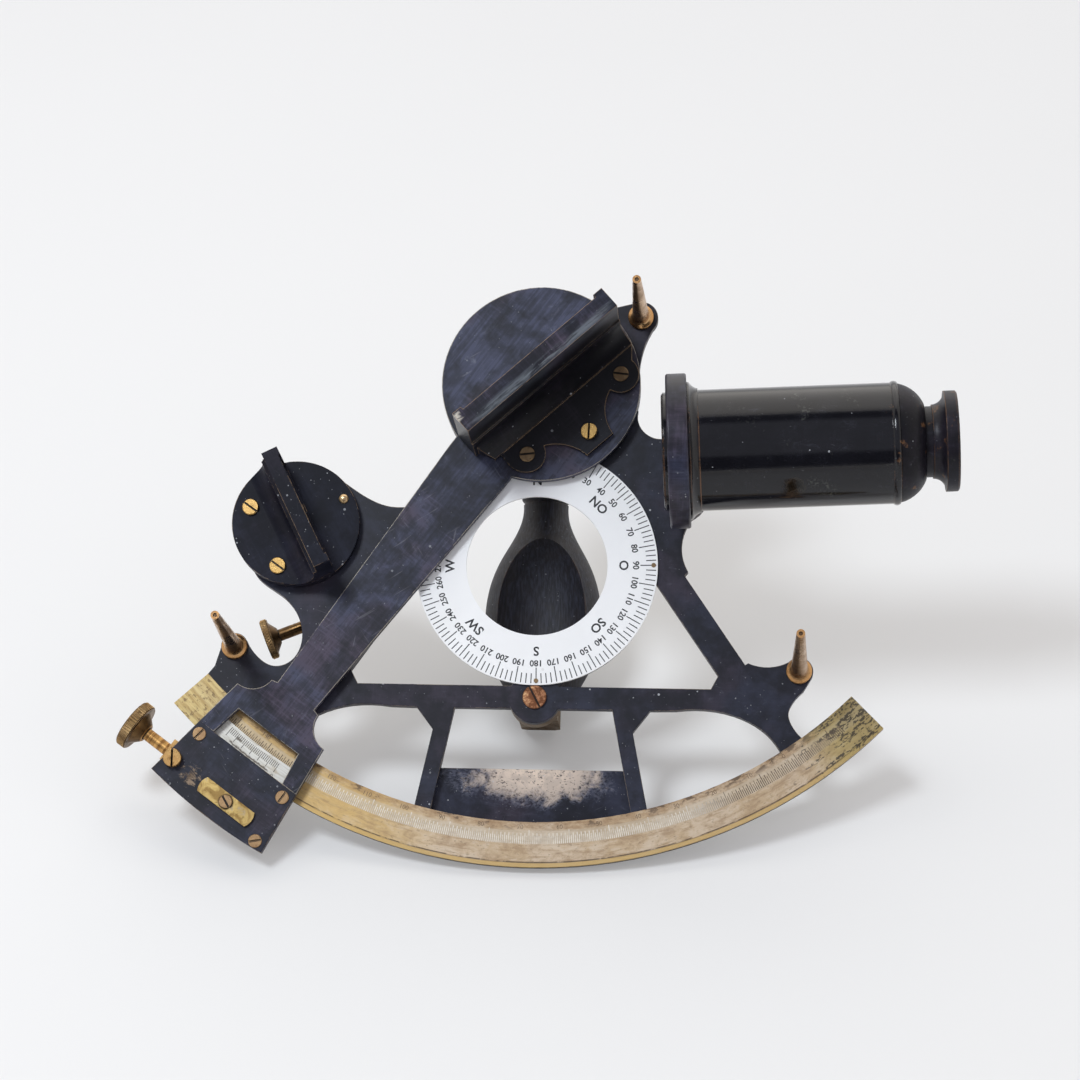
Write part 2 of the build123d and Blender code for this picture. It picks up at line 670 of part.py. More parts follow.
def leg(x, y, lean_x, lean_y):
    """A slender turned leg on a flange, its spigot screwed into the frame."""
    shape = spun((0, FRAME_BACK), (LEG_SPIGOT_R, FRAME_BACK), (LEG_SPIGOT_R, 0), (LEG_FLANGE_R, 0),
                 (LEG_FLANGE_R, LEG_FLANGE_T),
                 (LEG_FOOT_R + LEG_FLARE[0], LEG_SHOULDER_H - LEG_FLARE[1]),
                 (LEG_FOOT_R, LEG_SHOULDER_H), (0, LEG_SHOULDER_H))
    rims = shape.edges().filter_by(GeomType.CIRCLE)
    flange_rim = rims.filter_by(lambda e: abs(e.radius - LEG_FLANGE_R) < 1e-3).sort_by(Axis.Z)[-1]
    root = Pos(0, 0, LEG_SHOULDER_H) * Circle(LEG_FOOT_R)
    tip = Pos(lean_x, lean_y, LEG_H) * Circle(LEG_TIP_R)
    shape = fillet(flange_rim, LEG_FLANGE_ROUND) + loft([root, tip])
    mark_r, mark_depth = LEG_CENTRE
    return Pos(x, y, 0) * (shape - rod(mark_r, LEG_H - mark_depth, LEG_H + 1, lean_x, lean_y))


# ================================================================ handle
def sunk_screw(gap=0.0):
    """The countersunk screw that holds the upper handle bracket."""
    y = GRIP_TOP_Y + BRACKET_DEPTH / 2
    body = spun((0, SUNK_SHANK_LOW_Z - gap), (SUNK_SHANK_R + gap, SUNK_SHANK_LOW_Z - gap),
                (SUNK_SHANK_R + gap, -SUNK_HEAD_T), (SUNK_HEAD_R + gap, 0), (0, 0))
    return Pos(GRIP_X, y, 0) * body


def top_bracket_screw():
    y = GRIP_TOP_Y + BRACKET_DEPTH / 2
    slot = Pos(GRIP_X, y, 0) * Rot(0, 0, 35) * Box(3 * SUNK_HEAD_R, SLOT_W, 2 * SLOT_SHARE * SUNK_HEAD_T)
    return sunk_screw() - slot


def along_grip(shape):
    """From a shape turned about X to the handle's axis, which runs down -Y."""
    return Pos(GRIP_X, GRIP_TOP_Y, GRIP_Z) * Rot(0, 0, -90) * shape


def handle_top_bracket():
    y_span = (GRIP_TOP_Y, GRIP_TOP_Y + BRACKET_DEPTH)
    x_span = (GRIP_X - BRACKET_W / 2, GRIP_X + BRACKET_W / 2)
    block = bar(x_span, y_span, (BRACKET_LOW_Z, FRAME_BACK))
    corners = block.edges().filter_by(Axis.Y).sort_by(Axis.Z)[:2]
    block = fillet(corners, BRACKET_W / 2 - 0.5)
    block -= sunk_screw(SEAT)
    return block - along_grip(lathe((-20, 0), (-20, ROD_R + SEAT), (20, ROD_R + SEAT), (20, 0)))


def handle_pillar():
    pillar = rod(BUMP_R, PILLAR_LOW_Z, FRAME_BACK, *BUMP_XY)
    return pillar - rod(BIG_SHANK_R + SEAT, PILLAR_LOW_Z - 1, 1, *BUMP_XY)


def handle_screw():
    return screw(BIG_HEAD_R, BIG_HEAD_H, BIG_SHANK_R, BIG_SHANK_LOW_Z, -62, 0, *BUMP_XY)


def handle_foot_block():
    width, depth = FOOT_BLOCK
    x_span = (GRIP_X - width / 2, GRIP_X + width / 2)
    block = bar(x_span, (GRIP_LOW_Y - depth, GRIP_LOW_Y), (FOOT_BLOCK_LOW_Z, PILLAR_LOW_Z))
    block = chamfer(block.edges().filter_by(Axis.Y).sort_by(Axis.Z)[:2], 2.0)
    block -= rod(BIG_SHANK_R + SEAT, BIG_SHANK_LOW_Z - SEAT, 1, *BUMP_XY)
    reach = GRIP_TOP_Y - GRIP_LOW_Y + depth - ROD_SKIN
    return block - along_grip(lathe((20, 0), (20, ROD_R + SEAT), (reach, ROD_R + SEAT), (reach, 0)))


def handle_grip():
    """A pear-shaped wooden grip with a long scoop in the side that faces the frame."""
    length = GRIP_TOP_Y - GRIP_LOW_Y
    neck = [Line((0, 0), (0, 8.6)), ThreePointArc((0, 8.6), (1.8, 9.6), (3.6, 8.8)),
            ThreePointArc((3.6, 8.8), (4.2, 8.3), (4.8, 8.8))]
    belly = Spline((4.8, 8.8), (10.5, 9.2), (27.4, 17.2), (36.0, 20.6), (50.0, GRIP_R),
                   (64.0, 20.6), (length, 9.5))
    tail = [Line((length, 9.5), (length, 0)), Line((length, 0), (0, 0))]
    face = make_face(Wire([*neck, belly, *tail]))
    grip = along_grip(revolve(face, Axis.X))
    ellipsoid = scale(Sphere(1), by=SCOOP_RADII)
    grip -= Pos(GRIP_X, SCOOP_Y, SCOOP_Z) * ellipsoid
    hole_r = ROD_R + SEAT
    return grip - along_grip(lathe((-1, 0), (-1, hole_r), (length + 1, hole_r), (length + 1, 0)))


def handle_rod():
    start = -BRACKET_DEPTH - GRIP_NUT_T - ROD_PROUD
    end = GRIP_TOP_Y - GRIP_LOW_Y + FOOT_BLOCK[1] - ROD_SKIN - SEAT
    return along_grip(lathe((start, 0), (start, ROD_R), (end, ROD_R), (end, 0)))


def handle_nut():
    nut = Rot(0, 90, 0) * hexagon(GRIP_NUT_AF, 0, GRIP_NUT_T)
    nut = Pos(-BRACKET_DEPTH - GRIP_NUT_T, 0, 0) * nut
    return along_grip(nut - lathe((-20, 0), (-20, ROD_R + SEAT), (20, ROD_R + SEAT), (20, 0)))


# ================================================================ index arm
def plate_edge_point(radius, side):
    return swing_point(radius, side * PLATE_HALF_ANGLE)


def cove_middle(side):
    """The deepest point of the cove between the shank's shoulder and the horn."""
    horn_x, horn_y = plate_edge_point(PLATE_HORN_R, side)
    step_x, step_y = side * ARM_STEP_HALF_W, -ARM_END_V - 0.6
    chord = sqrt((horn_x - step_x) ** 2 + (horn_y - step_y) ** 2)
    away = ((step_y - horn_y) / chord, (horn_x - step_x) / chord)
    shift = COVE_SAG * (-1 if side > 0 else 1)
    return ((horn_x + step_x) / 2 + away[0] * shift, (horn_y + step_y) / 2 + away[1] * shift)


def arm_outline(outer_face):
    """The whole arm in plan, hanging straight down, cut to an outer face."""
    rise = ARM_END_V + 0.6
    blade = trace(
        (-ARM_ROOT_HALF_W, -ARM_ROOT_V + 45), [(ARM_ROOT_HALF_W, -ARM_ROOT_V + 45)],
        [(ARM_ROOT_HALF_W, -ARM_ROOT_V)], [(ARM_END_HALF_W, -ARM_END_V)],
        [(ARM_STEP_HALF_W, -rise)], [cove_middle(1), plate_edge_point(PLATE_HORN_R, 1)],
        [plate_edge_point(PLATE_OUT_R, 1)],
        [(0, -PLATE_OUT_R), plate_edge_point(PLATE_OUT_R, -1)],
        [plate_edge_point(PLATE_HORN_R, -1)],
        [cove_middle(-1), (-ARM_STEP_HALF_W, -rise)], [(-ARM_END_HALF_W, -ARM_END_V)],
        [(-ARM_ROOT_HALF_W, -ARM_ROOT_V)])
    return (blade + disc(ARM_HEAD_R)) & outer_face


def window():
    return make_face(Polyline(
        (-WINDOW_IN_HALF_W, -WINDOW_IN_V), (WINDOW_IN_HALF_W, -WINDOW_IN_V),
        (WINDOW_OUT_HALF_W, -SEAM_V), (-WINDOW_OUT_HALF_W, -SEAM_V), close=True))


def everywhere():
    return Rectangle(600, 600)


def beyond_seam():
    return Pos(0, -SEAM_V - 50) * Rectangle(120, 100)


def arm_holes():
    """Shanks that pass down through the cover plate and the arm's lap."""
    tools = [rod(SMALL_SHANK_R + SEAT, -1, ARM_TOP + 1, u, -v) for u, v in COVER_SCREW_AT]
    tools.append(rod(SMALL_SHANK_R + SEAT, -1, ARM_TOP + 2, TAB_SCREW_U, -TAB_MID[1]))
    u, v = TANGENT_SCREW_AT
    tools.append(rod(TANGENT_SHANK_R + SEAT, -3, ARM_TOP + 1, u, -v))
    return tools


def index_arm():
    arm = slab(arm_outline(everywhere()), ARM_Z0, ARM_TOP) - slab(beyond_seam(), ARM_Z0 + LAP_T, ARM_TOP)
    arm -= slab(window(), ARM_Z0 - 1, ARM_TOP + 1)
    arm -= rod(AXLE_SPIGOT_R + SEAT, 0, ARM_TOP + 1)
    arm -= arm_holes()
    turn = MIRROR_TURN - ARM_SWING
    for p, n in [*BRACKET_LOBES, ADJUST_AT]:
        arm -= Rot(0, 0, turn) * rod(BRACKET_SHANK_R + SEAT, ARM_Z0 + HOLE_FLOOR, ARM_TOP + 1, p, -n)
    return on_arm(arm)


def index_cover_plate():
    plate = slab(arm_outline(beyond_seam()), ARM_Z0 + LAP_T, ARM_TOP) - arm_holes()
    return on_arm(plate)


def cover_screws():
    """The three cover screws and the taller one of the brass tab."""
    low = ARM_Z0 - VERNIER_T + HOLE_FLOOR
    turns = [83, 92, 46]
    screws = []
    for (u, v), slot_turn in zip(COVER_SCREW_AT, turns):
        tip = low if v < VERNIER_OUT_V else ARM_Z0 + THROUGH_TIP
        screws.append(screw(SMALL_HEAD_R, SMALL_HEAD_H, SMALL_SHANK_R, tip, slot_turn, ARM_TOP, u, -v))
    screws.append(screw(TAB_HEAD_R, TAB_HEAD_H, SMALL_SHANK_R, ARM_Z0 + THROUGH_TIP, -24,
                        ARM_TOP + TAB_SIZE[2], TAB_SCREW_U, -TAB_MID[1]))
    return [on_arm(part) for part in screws]


def tab_sag():
    """How far the tab's rounded ends stand out of its corners."""
    return TAB_END_R - sqrt(TAB_END_R ** 2 - (TAB_SIZE[1] / 2) ** 2)


def brass_tab():
    length, width, thick = TAB_SIZE
    end, side = length / 2, width / 2
    corner = end - tab_sag()
    face = trace((-corner, -side), [(-end, 0), (-corner, side)], [(corner, side)],
                 [(end, 0), (corner, -side)])
    tab = slab(Pos(TAB_MID[0], -TAB_MID[1]) * face, ARM_TOP, ARM_TOP + thick)
    return on_arm(tab - rod(SMALL_SHANK_R + SEAT, 0, ARM_TOP + 5, TAB_SCREW_U, -TAB_MID[1]))


def vernier_plate():
    """The silvered vernier under the window; its inner edge follows the limb."""
    low, high = ARM_Z0 - VERNIER_T, ARM_Z0
    blank = Pos(0, -(VERNIER_IN_V + VERNIER_OUT_V) / 2 + 3) * Rectangle(
        2 * VERNIER_HALF_W, VERNIER_OUT_V - VERNIER_IN_V + 6)
    plate = slab(blank - disc(VERNIER_IN_V), low, high)
    for u, v in COVER_SCREW_AT[:2]:
        plate -= rod(SMALL_SHANK_R + SEAT, low - 1, high + 1, u, -v)
    return on_arm(plate)


def index_bearing():
    top = ARM_Z0 - FACE_GAP
    body = rod(BEARING_R, BEARING_LOW_Z, top)
    body += rod(BEARING_FLANGE_R, FRAME_BACK - BEARING_FLANGE_T, FRAME_BACK)
    body -= rod(AXLE_R + RUN, BEARING_LOW_Z - 1, top + 1)
    for x, y in bearing_screw_points():
        body -= back_screw_hole(x, y, FRAME_BACK - BEARING_FLANGE_T)
    return body


def index_axle():
    shoulder = BEARING_LOW_Z + FACE_GAP
    return (rod(AXLE_R, shoulder, ARM_Z0) + rod(AXLE_SPIGOT_R, ARM_Z0, ARM_TOP)
            + rod(AXLE_THREAD_R, AXLE_LOW_Z, shoulder))


def axle_nut():
    top = BEARING_LOW_Z - FACE_GAP
    nut = hexagon(AXLE_NUT_AF, top - AXLE_NUT_T, top)
    return nut - rod(AXLE_THREAD_R + SEAT, top - AXLE_NUT_T - 1, top + 1)


# ================================================================ index mirror
def bracket_base():
    """The scalloped foot in plan: two screw lobes and a tongue between them."""
    (left_p, left_n), (right_p, right_n) = BRACKET_LOBES
    reach = BRACKET_LOBE_R
    tongue_l = BRACKET_TONGUE_P - BRACKET_TONGUE_HALF
    tongue_r = BRACKET_TONGUE_P + BRACKET_TONGUE_HALF
    end_p = MIRROR_P[1]
    return trace(
        (MIRROR_P[0] + MIRROR_CUT[1], 0), [(left_p - reach - 0.7, -MIRROR_TOE_N)],
        [(left_p - reach - 0.9, -left_n + 1.0)],
        [(left_p - 5.6, -left_n - 4.3), (left_p - 2.6, -left_n - reach + 0.5)],
        [(left_p + 4.2, -left_n - reach + 1.4), (left_p + reach, -left_n - 1.6)],
        [(tongue_l - 4.2, -left_n - 6.1), (tongue_l, -BRACKET_TONGUE_N)],
        [(tongue_r, -BRACKET_TONGUE_N)],
        [(tongue_r + 4.2, -right_n - 6.1), (right_p - reach, -right_n - 1.9)],
        [(right_p + 2.6, -right_n - reach + 0.5), (right_p + reach - 0.2, -right_n + 1.4)],
        [(end_p, -MIRROR_TOE_N)], [(end_p, 0)])


def index_mirror_bracket():
    foot_z = ARM_TOP + BRACKET_BASE_T
    back, toe, top = MIRROR_BACK_N, MIRROR_TOE_N, MIRROR_TOP_Z
    rib_low, rib_high = MIRROR_RIB_Z
    rib_n = back + MIRROR_RIB_N
    toe_z = foot_z + MIRROR_TOE_H
    edges = [
        Line((MIRROR_RAIL_N, foot_z - 1), (MIRROR_RAIL_N, top)),
        Line((MIRROR_RAIL_N, top), (back, top)),
        Line((back, top), (back, rib_high + MIRROR_RIB_N)),
        Line((back, rib_high + MIRROR_RIB_N), (rib_n, rib_high)),
        Line((rib_n, rib_high), (rib_n, rib_low)),
        ThreePointArc((rib_n, rib_low), (rib_n + 1.5, (rib_low + toe_z) / 2 - 2), (toe, toe_z)),
        Line((toe, toe_z), (toe, foot_z - 1)),
        Line((toe, foot_z - 1), (MIRROR_RAIL_N, foot_z - 1)),
    ]
    # the profile is drawn with depth along X and height along Y, then stood up
    # so that depth runs to -Y and the extrusion along +X
    profile = make_face(Wire(edges))
    length = MIRROR_P[1] - MIRROR_P[0]
    body = extrude(profile, amount=length, dir=(0, 0, 1))
    body = Pos(MIRROR_P[0], 0, 0) * Plane(
        origin=(0, 0, 0), x_dir=(0, -1, 0), z_dir=(-1, 0, 0)).location * Pos(0, 0, -length) * body
    for low in (MIRROR_P[0], MIRROR_P[1] - MIRROR_LIP_L):
        body += bar((low, low + MIRROR_LIP_L), (-MIRROR_RAIL_N, -MIRROR_LIP_N), (foot_z - 1, top))
    body -= bar(glass_p_span(SEAT), glass_y_span(), (foot_z + MIRROR_SEAT_H, top - MIRROR_CAP_T))
    end, keep_n = MIRROR_P[0], rib_n + 0.1
    cut = make_face(Polyline(
        (end - 1, -keep_n), (end + MIRROR_CUT[0], -keep_n), (end + MIRROR_CUT[1], -toe - 1),
        (end - 1, -toe - 1), close=True))
    body -= slab(cut, foot_z - 2, top)
    body &= slab(disc(ARM_HEAD_R), 0, 100)
    body += slab(bracket_base(), ARM_TOP, foot_z)
    for p, n in [*BRACKET_LOBES, ADJUST_AT]:
        body -= rod(BRACKET_SHANK_R + SEAT, 0, foot_z + 1, p, -n)
    return on_mirror(body)


def glass_p_span(gap=0.0):
    low = MIRROR_P[0] + MIRROR_LIP_L - MIRROR_LIP_HOLD
    high = MIRROR_P[1] - MIRROR_LIP_L + MIRROR_LIP_HOLD
    return (low - gap, high + gap)


def glass_y_span():
    return (-MIRROR_RAIL_N - MIRROR_GLASS_T, -MIRROR_RAIL_N)


def index_mirror():
    low = ARM_TOP + BRACKET_BASE_T + MIRROR_SEAT_H
    return on_mirror(bar(glass_p_span(), glass_y_span(), (low, MIRROR_TOP_Z - MIRROR_CAP_T)))


def index_bracket_screws():
    foot_z = ARM_TOP + BRACKET_BASE_T
    tip = ARM_Z0 + HOLE_FLOOR + TIP_PLAY
    return [on_mirror(screw(BRACKET_HEAD_R, BRACKET_HEAD_H, BRACKET_SHANK_R, tip, slot_turn, foot_z, p, -n))
            for (p, n), slot_turn in zip(BRACKET_LOBES, (-36, -48))]


def index_adjust_screw():
    foot_z = ARM_TOP + BRACKET_BASE_T
    p, n = ADJUST_AT
    tip = ARM_Z0 + HOLE_FLOOR + TIP_PLAY
    return on_mirror(screw(ADJUST_HEAD_R, ADJUST_HEAD_H, BRACKET_SHANK_R, tip, 46, foot_z, p, -n))


# ================================================================ horizon mirror
HORIZON_FLOOR = AIR                              # rear face of the turning disc
HORIZON_DECK = HORIZON_FLOOR + HORIZON_DISC_T    # its front face
HORIZON_FOOT = HORIZON_DECK + HORIZON_BASE_T     # front face of the bracket's foot


def horizon_disc():
    body = rod(HORIZON_R, HORIZON_FLOOR, HORIZON_DECK) - rod(HORIZON_SPIGOT_R + SEAT, 0, HORIZON_DECK + 1)
    for m, q in horizon_screw_points():
        body -= rod(BRACKET_SHANK_R + SEAT, HORIZON_FLOOR + HOLE_FLOOR, HORIZON_DECK + 1, m, -q)
    m, q = HORIZON_PIN_AT
    body -= rod(HORIZON_PIN_R / 2 + SEAT, HORIZON_FLOOR + HOLE_FLOOR, HORIZON_DECK + 1, m, -q)
    return on_horizon(body)


def horizon_screw_points():
    return [(HORIZON_SCREW_M, side * HORIZON_SCREW_Q) for side in (-1, 1)]


def horizon_bracket():
    """A foot that fills the disc's rear half, a coved back and the mirror's rail."""
    back, front = HORIZON_M
    foot, top = HORIZON_FOOT, HORIZON_TOP_Z
    edges = [
        Line((HORIZON_COVE_M, foot - 1), (HORIZON_COVE_M, foot)),
        ThreePointArc((HORIZON_COVE_M, foot), (-4.0, foot + 2.6), (back - 1.4, foot + 9)),
        Line((back - 1.4, foot + 9), (back - 1.4, foot + 11)),
        Line((back - 1.4, foot + 11), (back, foot + 12)),
        Line((back, foot + 12), (back, top)),
        Line((back, top), (front, top)),
        Line((front, top), (front, foot - 1)),
        Line((front, foot - 1), (HORIZON_COVE_M, foot - 1)),
    ]
    low_q, high_q = HORIZON_Q
    length = high_q - low_q
    wall = extrude(make_face(Wire(edges)), amount=length, dir=(0, 0, 1))
    wall = Pos(0, -low_q, 0) * Rot(90, 0, 0) * wall
    for end in (-high_q, -low_q - HORIZON_LIP_L):
        wall += bar((front, HORIZON_LIP_M), (end, end + HORIZON_LIP_L), (foot - 1, top))
    cove_only = bar((HORIZON_COVE_M - 1, back - 0.01), (-40, 40), (0, foot + 11.5))
    wall = (wall - cove_only) + (wall & cove_only & rod(HORIZON_R, 0, 60))
    wall -= bar(horizon_glass_m(), horizon_glass_y(SEAT), (foot + HORIZON_SEAT_H, top - HORIZON_CAP_T))
    half = Pos(HORIZON_LIP_M - 50, 0) * Rectangle(100, 100)
    body = wall + slab(disc(HORIZON_R) & half, HORIZON_DECK, foot)
    for m, q in horizon_screw_points():
        body -= rod(BRACKET_SHANK_R + SEAT, 0, foot + 1, m, -q)
    body -= rod(HORIZON_SPIGOT_R + 0.4, 0, HORIZON_DECK + 0.4)
    return on_horizon(body)


def horizon_glass_m():
    return (HORIZON_M[1] - HORIZON_GLASS_T, HORIZON_M[1])


def horizon_glass_y(gap=0.0):
    inset = HORIZON_LIP_L - HORIZON_LIP_HOLD
    return (-HORIZON_Q[1] + inset - gap, -HORIZON_Q[0] - inset + gap)


def horizon_mirror():
    z_span = (HORIZON_FOOT + HORIZON_SEAT_H, HORIZON_TOP_Z - HORIZON_CAP_T)
    return on_horizon(bar(horizon_glass_m(), horizon_glass_y(), z_span))


def horizon_screws():
    tip = HORIZON_FLOOR + HOLE_FLOOR + TIP_PLAY
    return [on_horizon(screw(HORIZON_HEAD_R, HORIZON_HEAD_H, BRACKET_SHANK_R, tip, -62, HORIZON_FOOT, m, -q))
            for m, q in horizon_screw_points()]


def horizon_pin():
    m, q = HORIZON_PIN_AT
    dome = Pos(m, -q, HORIZON_DECK) * scale(Sphere(1), by=(HORIZON_PIN_R, HORIZON_PIN_R, HORIZON_PIN_H))
    dome -= bar((m - 5, m + 5), (-q - 5, -q + 5), (HORIZON_DECK - 5, HORIZON_DECK))
    tip = HORIZON_FLOOR + HOLE_FLOOR + TIP_PLAY
    return on_horizon(dome + rod(HORIZON_PIN_R / 2, tip, HORIZON_DECK, m, -q))


def horizon_bush():
    top = HORIZON_FLOOR - FACE_GAP
    body = rod(BUSH_R, BUSH_LOW_Z, top, *HORIZON_XY)
    body += rod(BUSH_FLANGE_R, FRAME_BACK - BUSH_FLANGE_T, FRAME_BACK, *HORIZON_XY)
    return body - rod(HORIZON_AXLE_R + RUN, BUSH_LOW_Z - 1, top + 1, *HORIZON_XY)


LEVER_TOP = BUSH_LOW_Z - FACE_GAP
LEVER_LOW = LEVER_TOP - LEVER_T


def horizon_axle():
    x, y = HORIZON_XY
    low = LEVER_LOW - LEVER_NUT_T
    body = rod(HORIZON_AXLE_R, LEVER_TOP, HORIZON_FLOOR, x, y)
    return body + rod(HORIZON_SPIGOT_R, HORIZON_FLOOR, HORIZON_DECK, x, y) + rod(
        HORIZON_SPIGOT_R, low, LEVER_TOP, x, y)


def horizon_axle_nut():
    x, y = HORIZON_XY
    nut = hexagon(LEVER_NUT_AF, LEVER_LOW - LEVER_NUT_T, LEVER_LOW, x, y)
    return nut - rod(HORIZON_SPIGOT_R + SEAT, LEVER_LOW - LEVER_NUT_T - 1, LEVER_LOW + 1, x, y)


def lever_station():
    """How far along the spindle the lever's end stands, and the lever's radius."""
    dx = HORIZON_XY[0] - ADJUSTER_XYZ[0]
    dy = HORIZON_XY[1] - ADJUSTER_XYZ[1]
    turn = radians(ADJUSTER_TURN)
    return dx * cos(turn) + dy * sin(turn), dy * cos(turn) - dx * sin(turn)


def horizon_lever():
    """A lever behind the frame whose end nut rides on the adjusting spindle."""
    station, radius = lever_station()
    blade = trace(
        (station - LEVER_HUB_R, radius), [(station - LEVER_END_W / 2, 0)],
        [(station, -LEVER_END_W / 2), (station + LEVER_END_W / 2, 0)], [(station + LEVER_HUB_R, radius)])
    face = blade + disc(LEVER_HUB_R, station, radius)
    arm = slab(face, LEVER_LOW, LEVER_TOP)
    arm -= rod(HORIZON_SPIGOT_R + SEAT, LEVER_LOW - 1, LEVER_TOP + 1, station, radius)
    half = ADJUSTER_NUT_HALF
    nut = bar((station - half, station + half), (-ADJUSTER_NUT_HALF_W, ADJUSTER_NUT_HALF_W),
              (ADJUSTER_XYZ[2] - ADJUSTER_NUT_DROP, LEVER_LOW + 0.5))
    hole_r = ADJUSTER_SHAFT_R + ADJUSTER_NUT_GAP
    bore = Pos(0, 0, ADJUSTER_XYZ[2]) * lathe((station - 9, 0), (station - 9, hole_r),
                                              (station + 9, hole_r), (station + 9, 0))
    return under_adjuster(arm + nut - bore)


def adjuster_block():
    """The bearing of the adjusting spindle, screwed to the back of the frame."""
    low_s, high_s = ADJUSTER_BLOCK_S
    z = ADJUSTER_XYZ[2]
    half = ADJUSTER_BLOCK_W / 2
    body = bar((low_s, high_s), (-half, half), (z - ADJUSTER_BLOCK_DROP, FRAME_BACK))
    body += bar((low_s, high_s + ADJUSTER_FOOT_LIP), (-ADJUSTER_FOOT_L, half),
                (FRAME_BACK - FLANGE_T, FRAME_BACK))
    hole_r = ADJUSTER_SHAFT_R + RUN
    body -= Pos(0, 0, z) * lathe((low_s - 1, 0), (low_s - 1, hole_r),
                                 (high_s + 5, hole_r), (high_s + 5, 0))
    body = under_adjuster(body)
    for x, y in adjuster_screw_points():
        body -= back_screw_hole(x, y, FRAME_BACK - FLANGE_T)
    return body


def horizon_adjust_screw():
    """Knurled head, coned boss and spindle in one turning."""
    half = ADJUSTER_KNOB_T / 2
    end = lever_station()[0] + ADJUSTER_TIP
    rim, edge = ADJUSTER_KNOB_R, ADJUSTER_EDGE
    root_r, tip_r, boss_l = ADJUSTER_BOSS
    body = lathe((-half, 0), (-half, rim - edge), (-half + edge, rim), (half - edge, rim),
                 (half, rim - edge), (half, root_r), (half + boss_l, tip_r),
                 (half + boss_l, ADJUSTER_SHAFT_R), (end, ADJUSTER_SHAFT_R), (end, 0))
    return on_adjuster(body)


# ================================================================ tangent screw and clamp
def tangent_bore(low_u, high_u, radius):
    tube = lathe((low_u, 0), (low_u, radius), (high_u, radius), (high_u, 0))
    return Pos(0, -TANGENT_V, TANGENT_Z) * tube


def tangent_screw():
    head = TANGENT_KNOB_U - TANGENT_KNOB_T / 2
    face = TANGENT_KNOB_U + TANGENT_KNOB_T / 2
    rim = TANGENT_KNOB_R
    root_r, tip_r, boss_l = TANGENT_BOSS
    body = lathe((head, 0), (head, rim - KNOB_EDGE), (head + KNOB_EDGE, rim), (face - KNOB_EDGE, rim),
                 (face, rim - KNOB_EDGE), (face, root_r), (face + boss_l, tip_r),
                 (face + boss_l, TANGENT_SHAFT_R), (TANGENT_TIP_U, TANGENT_SHAFT_R), (TANGENT_TIP_U, 0))
    return on_arm(Pos(0, -TANGENT_V, TANGENT_Z) * body)


def tangent_bearing():
    half = TANGENT_BLOCK_W / 2
    low_u, high_u = TANGENT_BLOCK_U
    body = bar((low_u, high_u), (-TANGENT_V - half, -TANGENT_V + half), (TANGENT_BLOCK_LOW_Z, ARM_Z0))
    body -= tangent_bore(low_u - 1, high_u + 1, TANGENT_SHAFT_R + RUN)
    u, v = TANGENT_SCREW_AT
    return on_arm(body - rod(TANGENT_SHANK_R + SEAT, TANGENT_SHANK_LOW_Z - SEAT, ARM_TOP, u, -v))


def tangent_bearing_screw():
    u, v = TANGENT_SCREW_AT
    return on_arm(screw(TANGENT_HEAD_R, TANGENT_HEAD_H, TANGENT_SHANK_R,
                        TANGENT_SHANK_LOW_Z, -54, ARM_TOP, u, -v))


def clamp_carriage():
    """Rides under the limb and carries the nut of the tangent screw."""
    low_u, high_u = CARRIAGE_U
    nut_half = TANGENT_BLOCK_W / 2
    top = ARM_Z0 - AIR
    outer = -TANGENT_V - nut_half
    body = bar((low_u, high_u), (outer, -CARRIAGE_IN_V), (CARRIAGE_LOW_Z, JAW_TOP_Z))
    body += bar(CARRIAGE_NUT_U, (outer, -CARRIAGE_WALL_V - CARRIAGE_NUT_SET), (CARRIAGE_LOW_Z, top))
    wall_top = ARM_Z0 - VERNIER_T - AIR
    body += bar((low_u, high_u), (-CARRIAGE_WALL_V - CARRIAGE_WALL_T, -CARRIAGE_WALL_V),
                (CARRIAGE_LOW_Z, wall_top))
    body -= tangent_bore(low_u - 1, high_u + 1, TANGENT_SHAFT_R + RUN)
    u, v = CLAMP_UV
    return on_arm(body - rod(CLAMP_SCREW_R + RUN, CARRIAGE_LOW_Z - 1, JAW_TOP_Z + 1, u, -v))


def clamp_screw():
    u, v = CLAMP_UV
    knob_top = CLAMP_KNOB_LOW_Z + CLAMP_KNOB_T
    rim, low = CLAMP_KNOB_R, CLAMP_KNOB_LOW_Z
    root_r, tip_r, boss_l = CLAMP_BOSS
    body = spun((0, low), (rim - KNOB_EDGE, low), (rim, low + KNOB_EDGE), (rim, knob_top - KNOB_EDGE),
                (rim - KNOB_EDGE, knob_top), (root_r, knob_top), (tip_r, knob_top + boss_l),
                (CLAMP_SCREW_R, knob_top + boss_l), (CLAMP_SCREW_R, FRAME_BACK - AIR),
                (0, FRAME_BACK - AIR))
    return on_arm(Pos(u, -v, 0) * body)


# ================================================================ telescope
def telescope_collar():
    """The big ring that holds the barrel, with its stem and lifting thread."""
    low_s, high_s = COLLAR_S
    ring = lathe((low_s, 0), (low_s, COLLAR_R), (high_s, COLLAR_R), (high_s, 0))
    ring = fillet(ring.edges().filter_by(GeomType.CIRCLE), COLLAR_ROUND)
    bore_r = THREAD_R + SEAT
    ring -= lathe((low_s - 1, 0), (low_s - 1, bore_r), (high_s + 1, bore_r), (high_s + 1, 0))
    stem = bar(STEM_S, (-STEM_HALF_W, STEM_HALF_W), (STEM_LOW_Z, STEM_TOP_Z))
    mid_s = (STEM_S[0] + STEM_S[1]) / 2
    stem += rod(STEM_ROD_R, STEM_ROD_LOW_Z, STEM_LOW_Z, mid_s, 0)
    return on_scope(ring) + under_scope(stem)


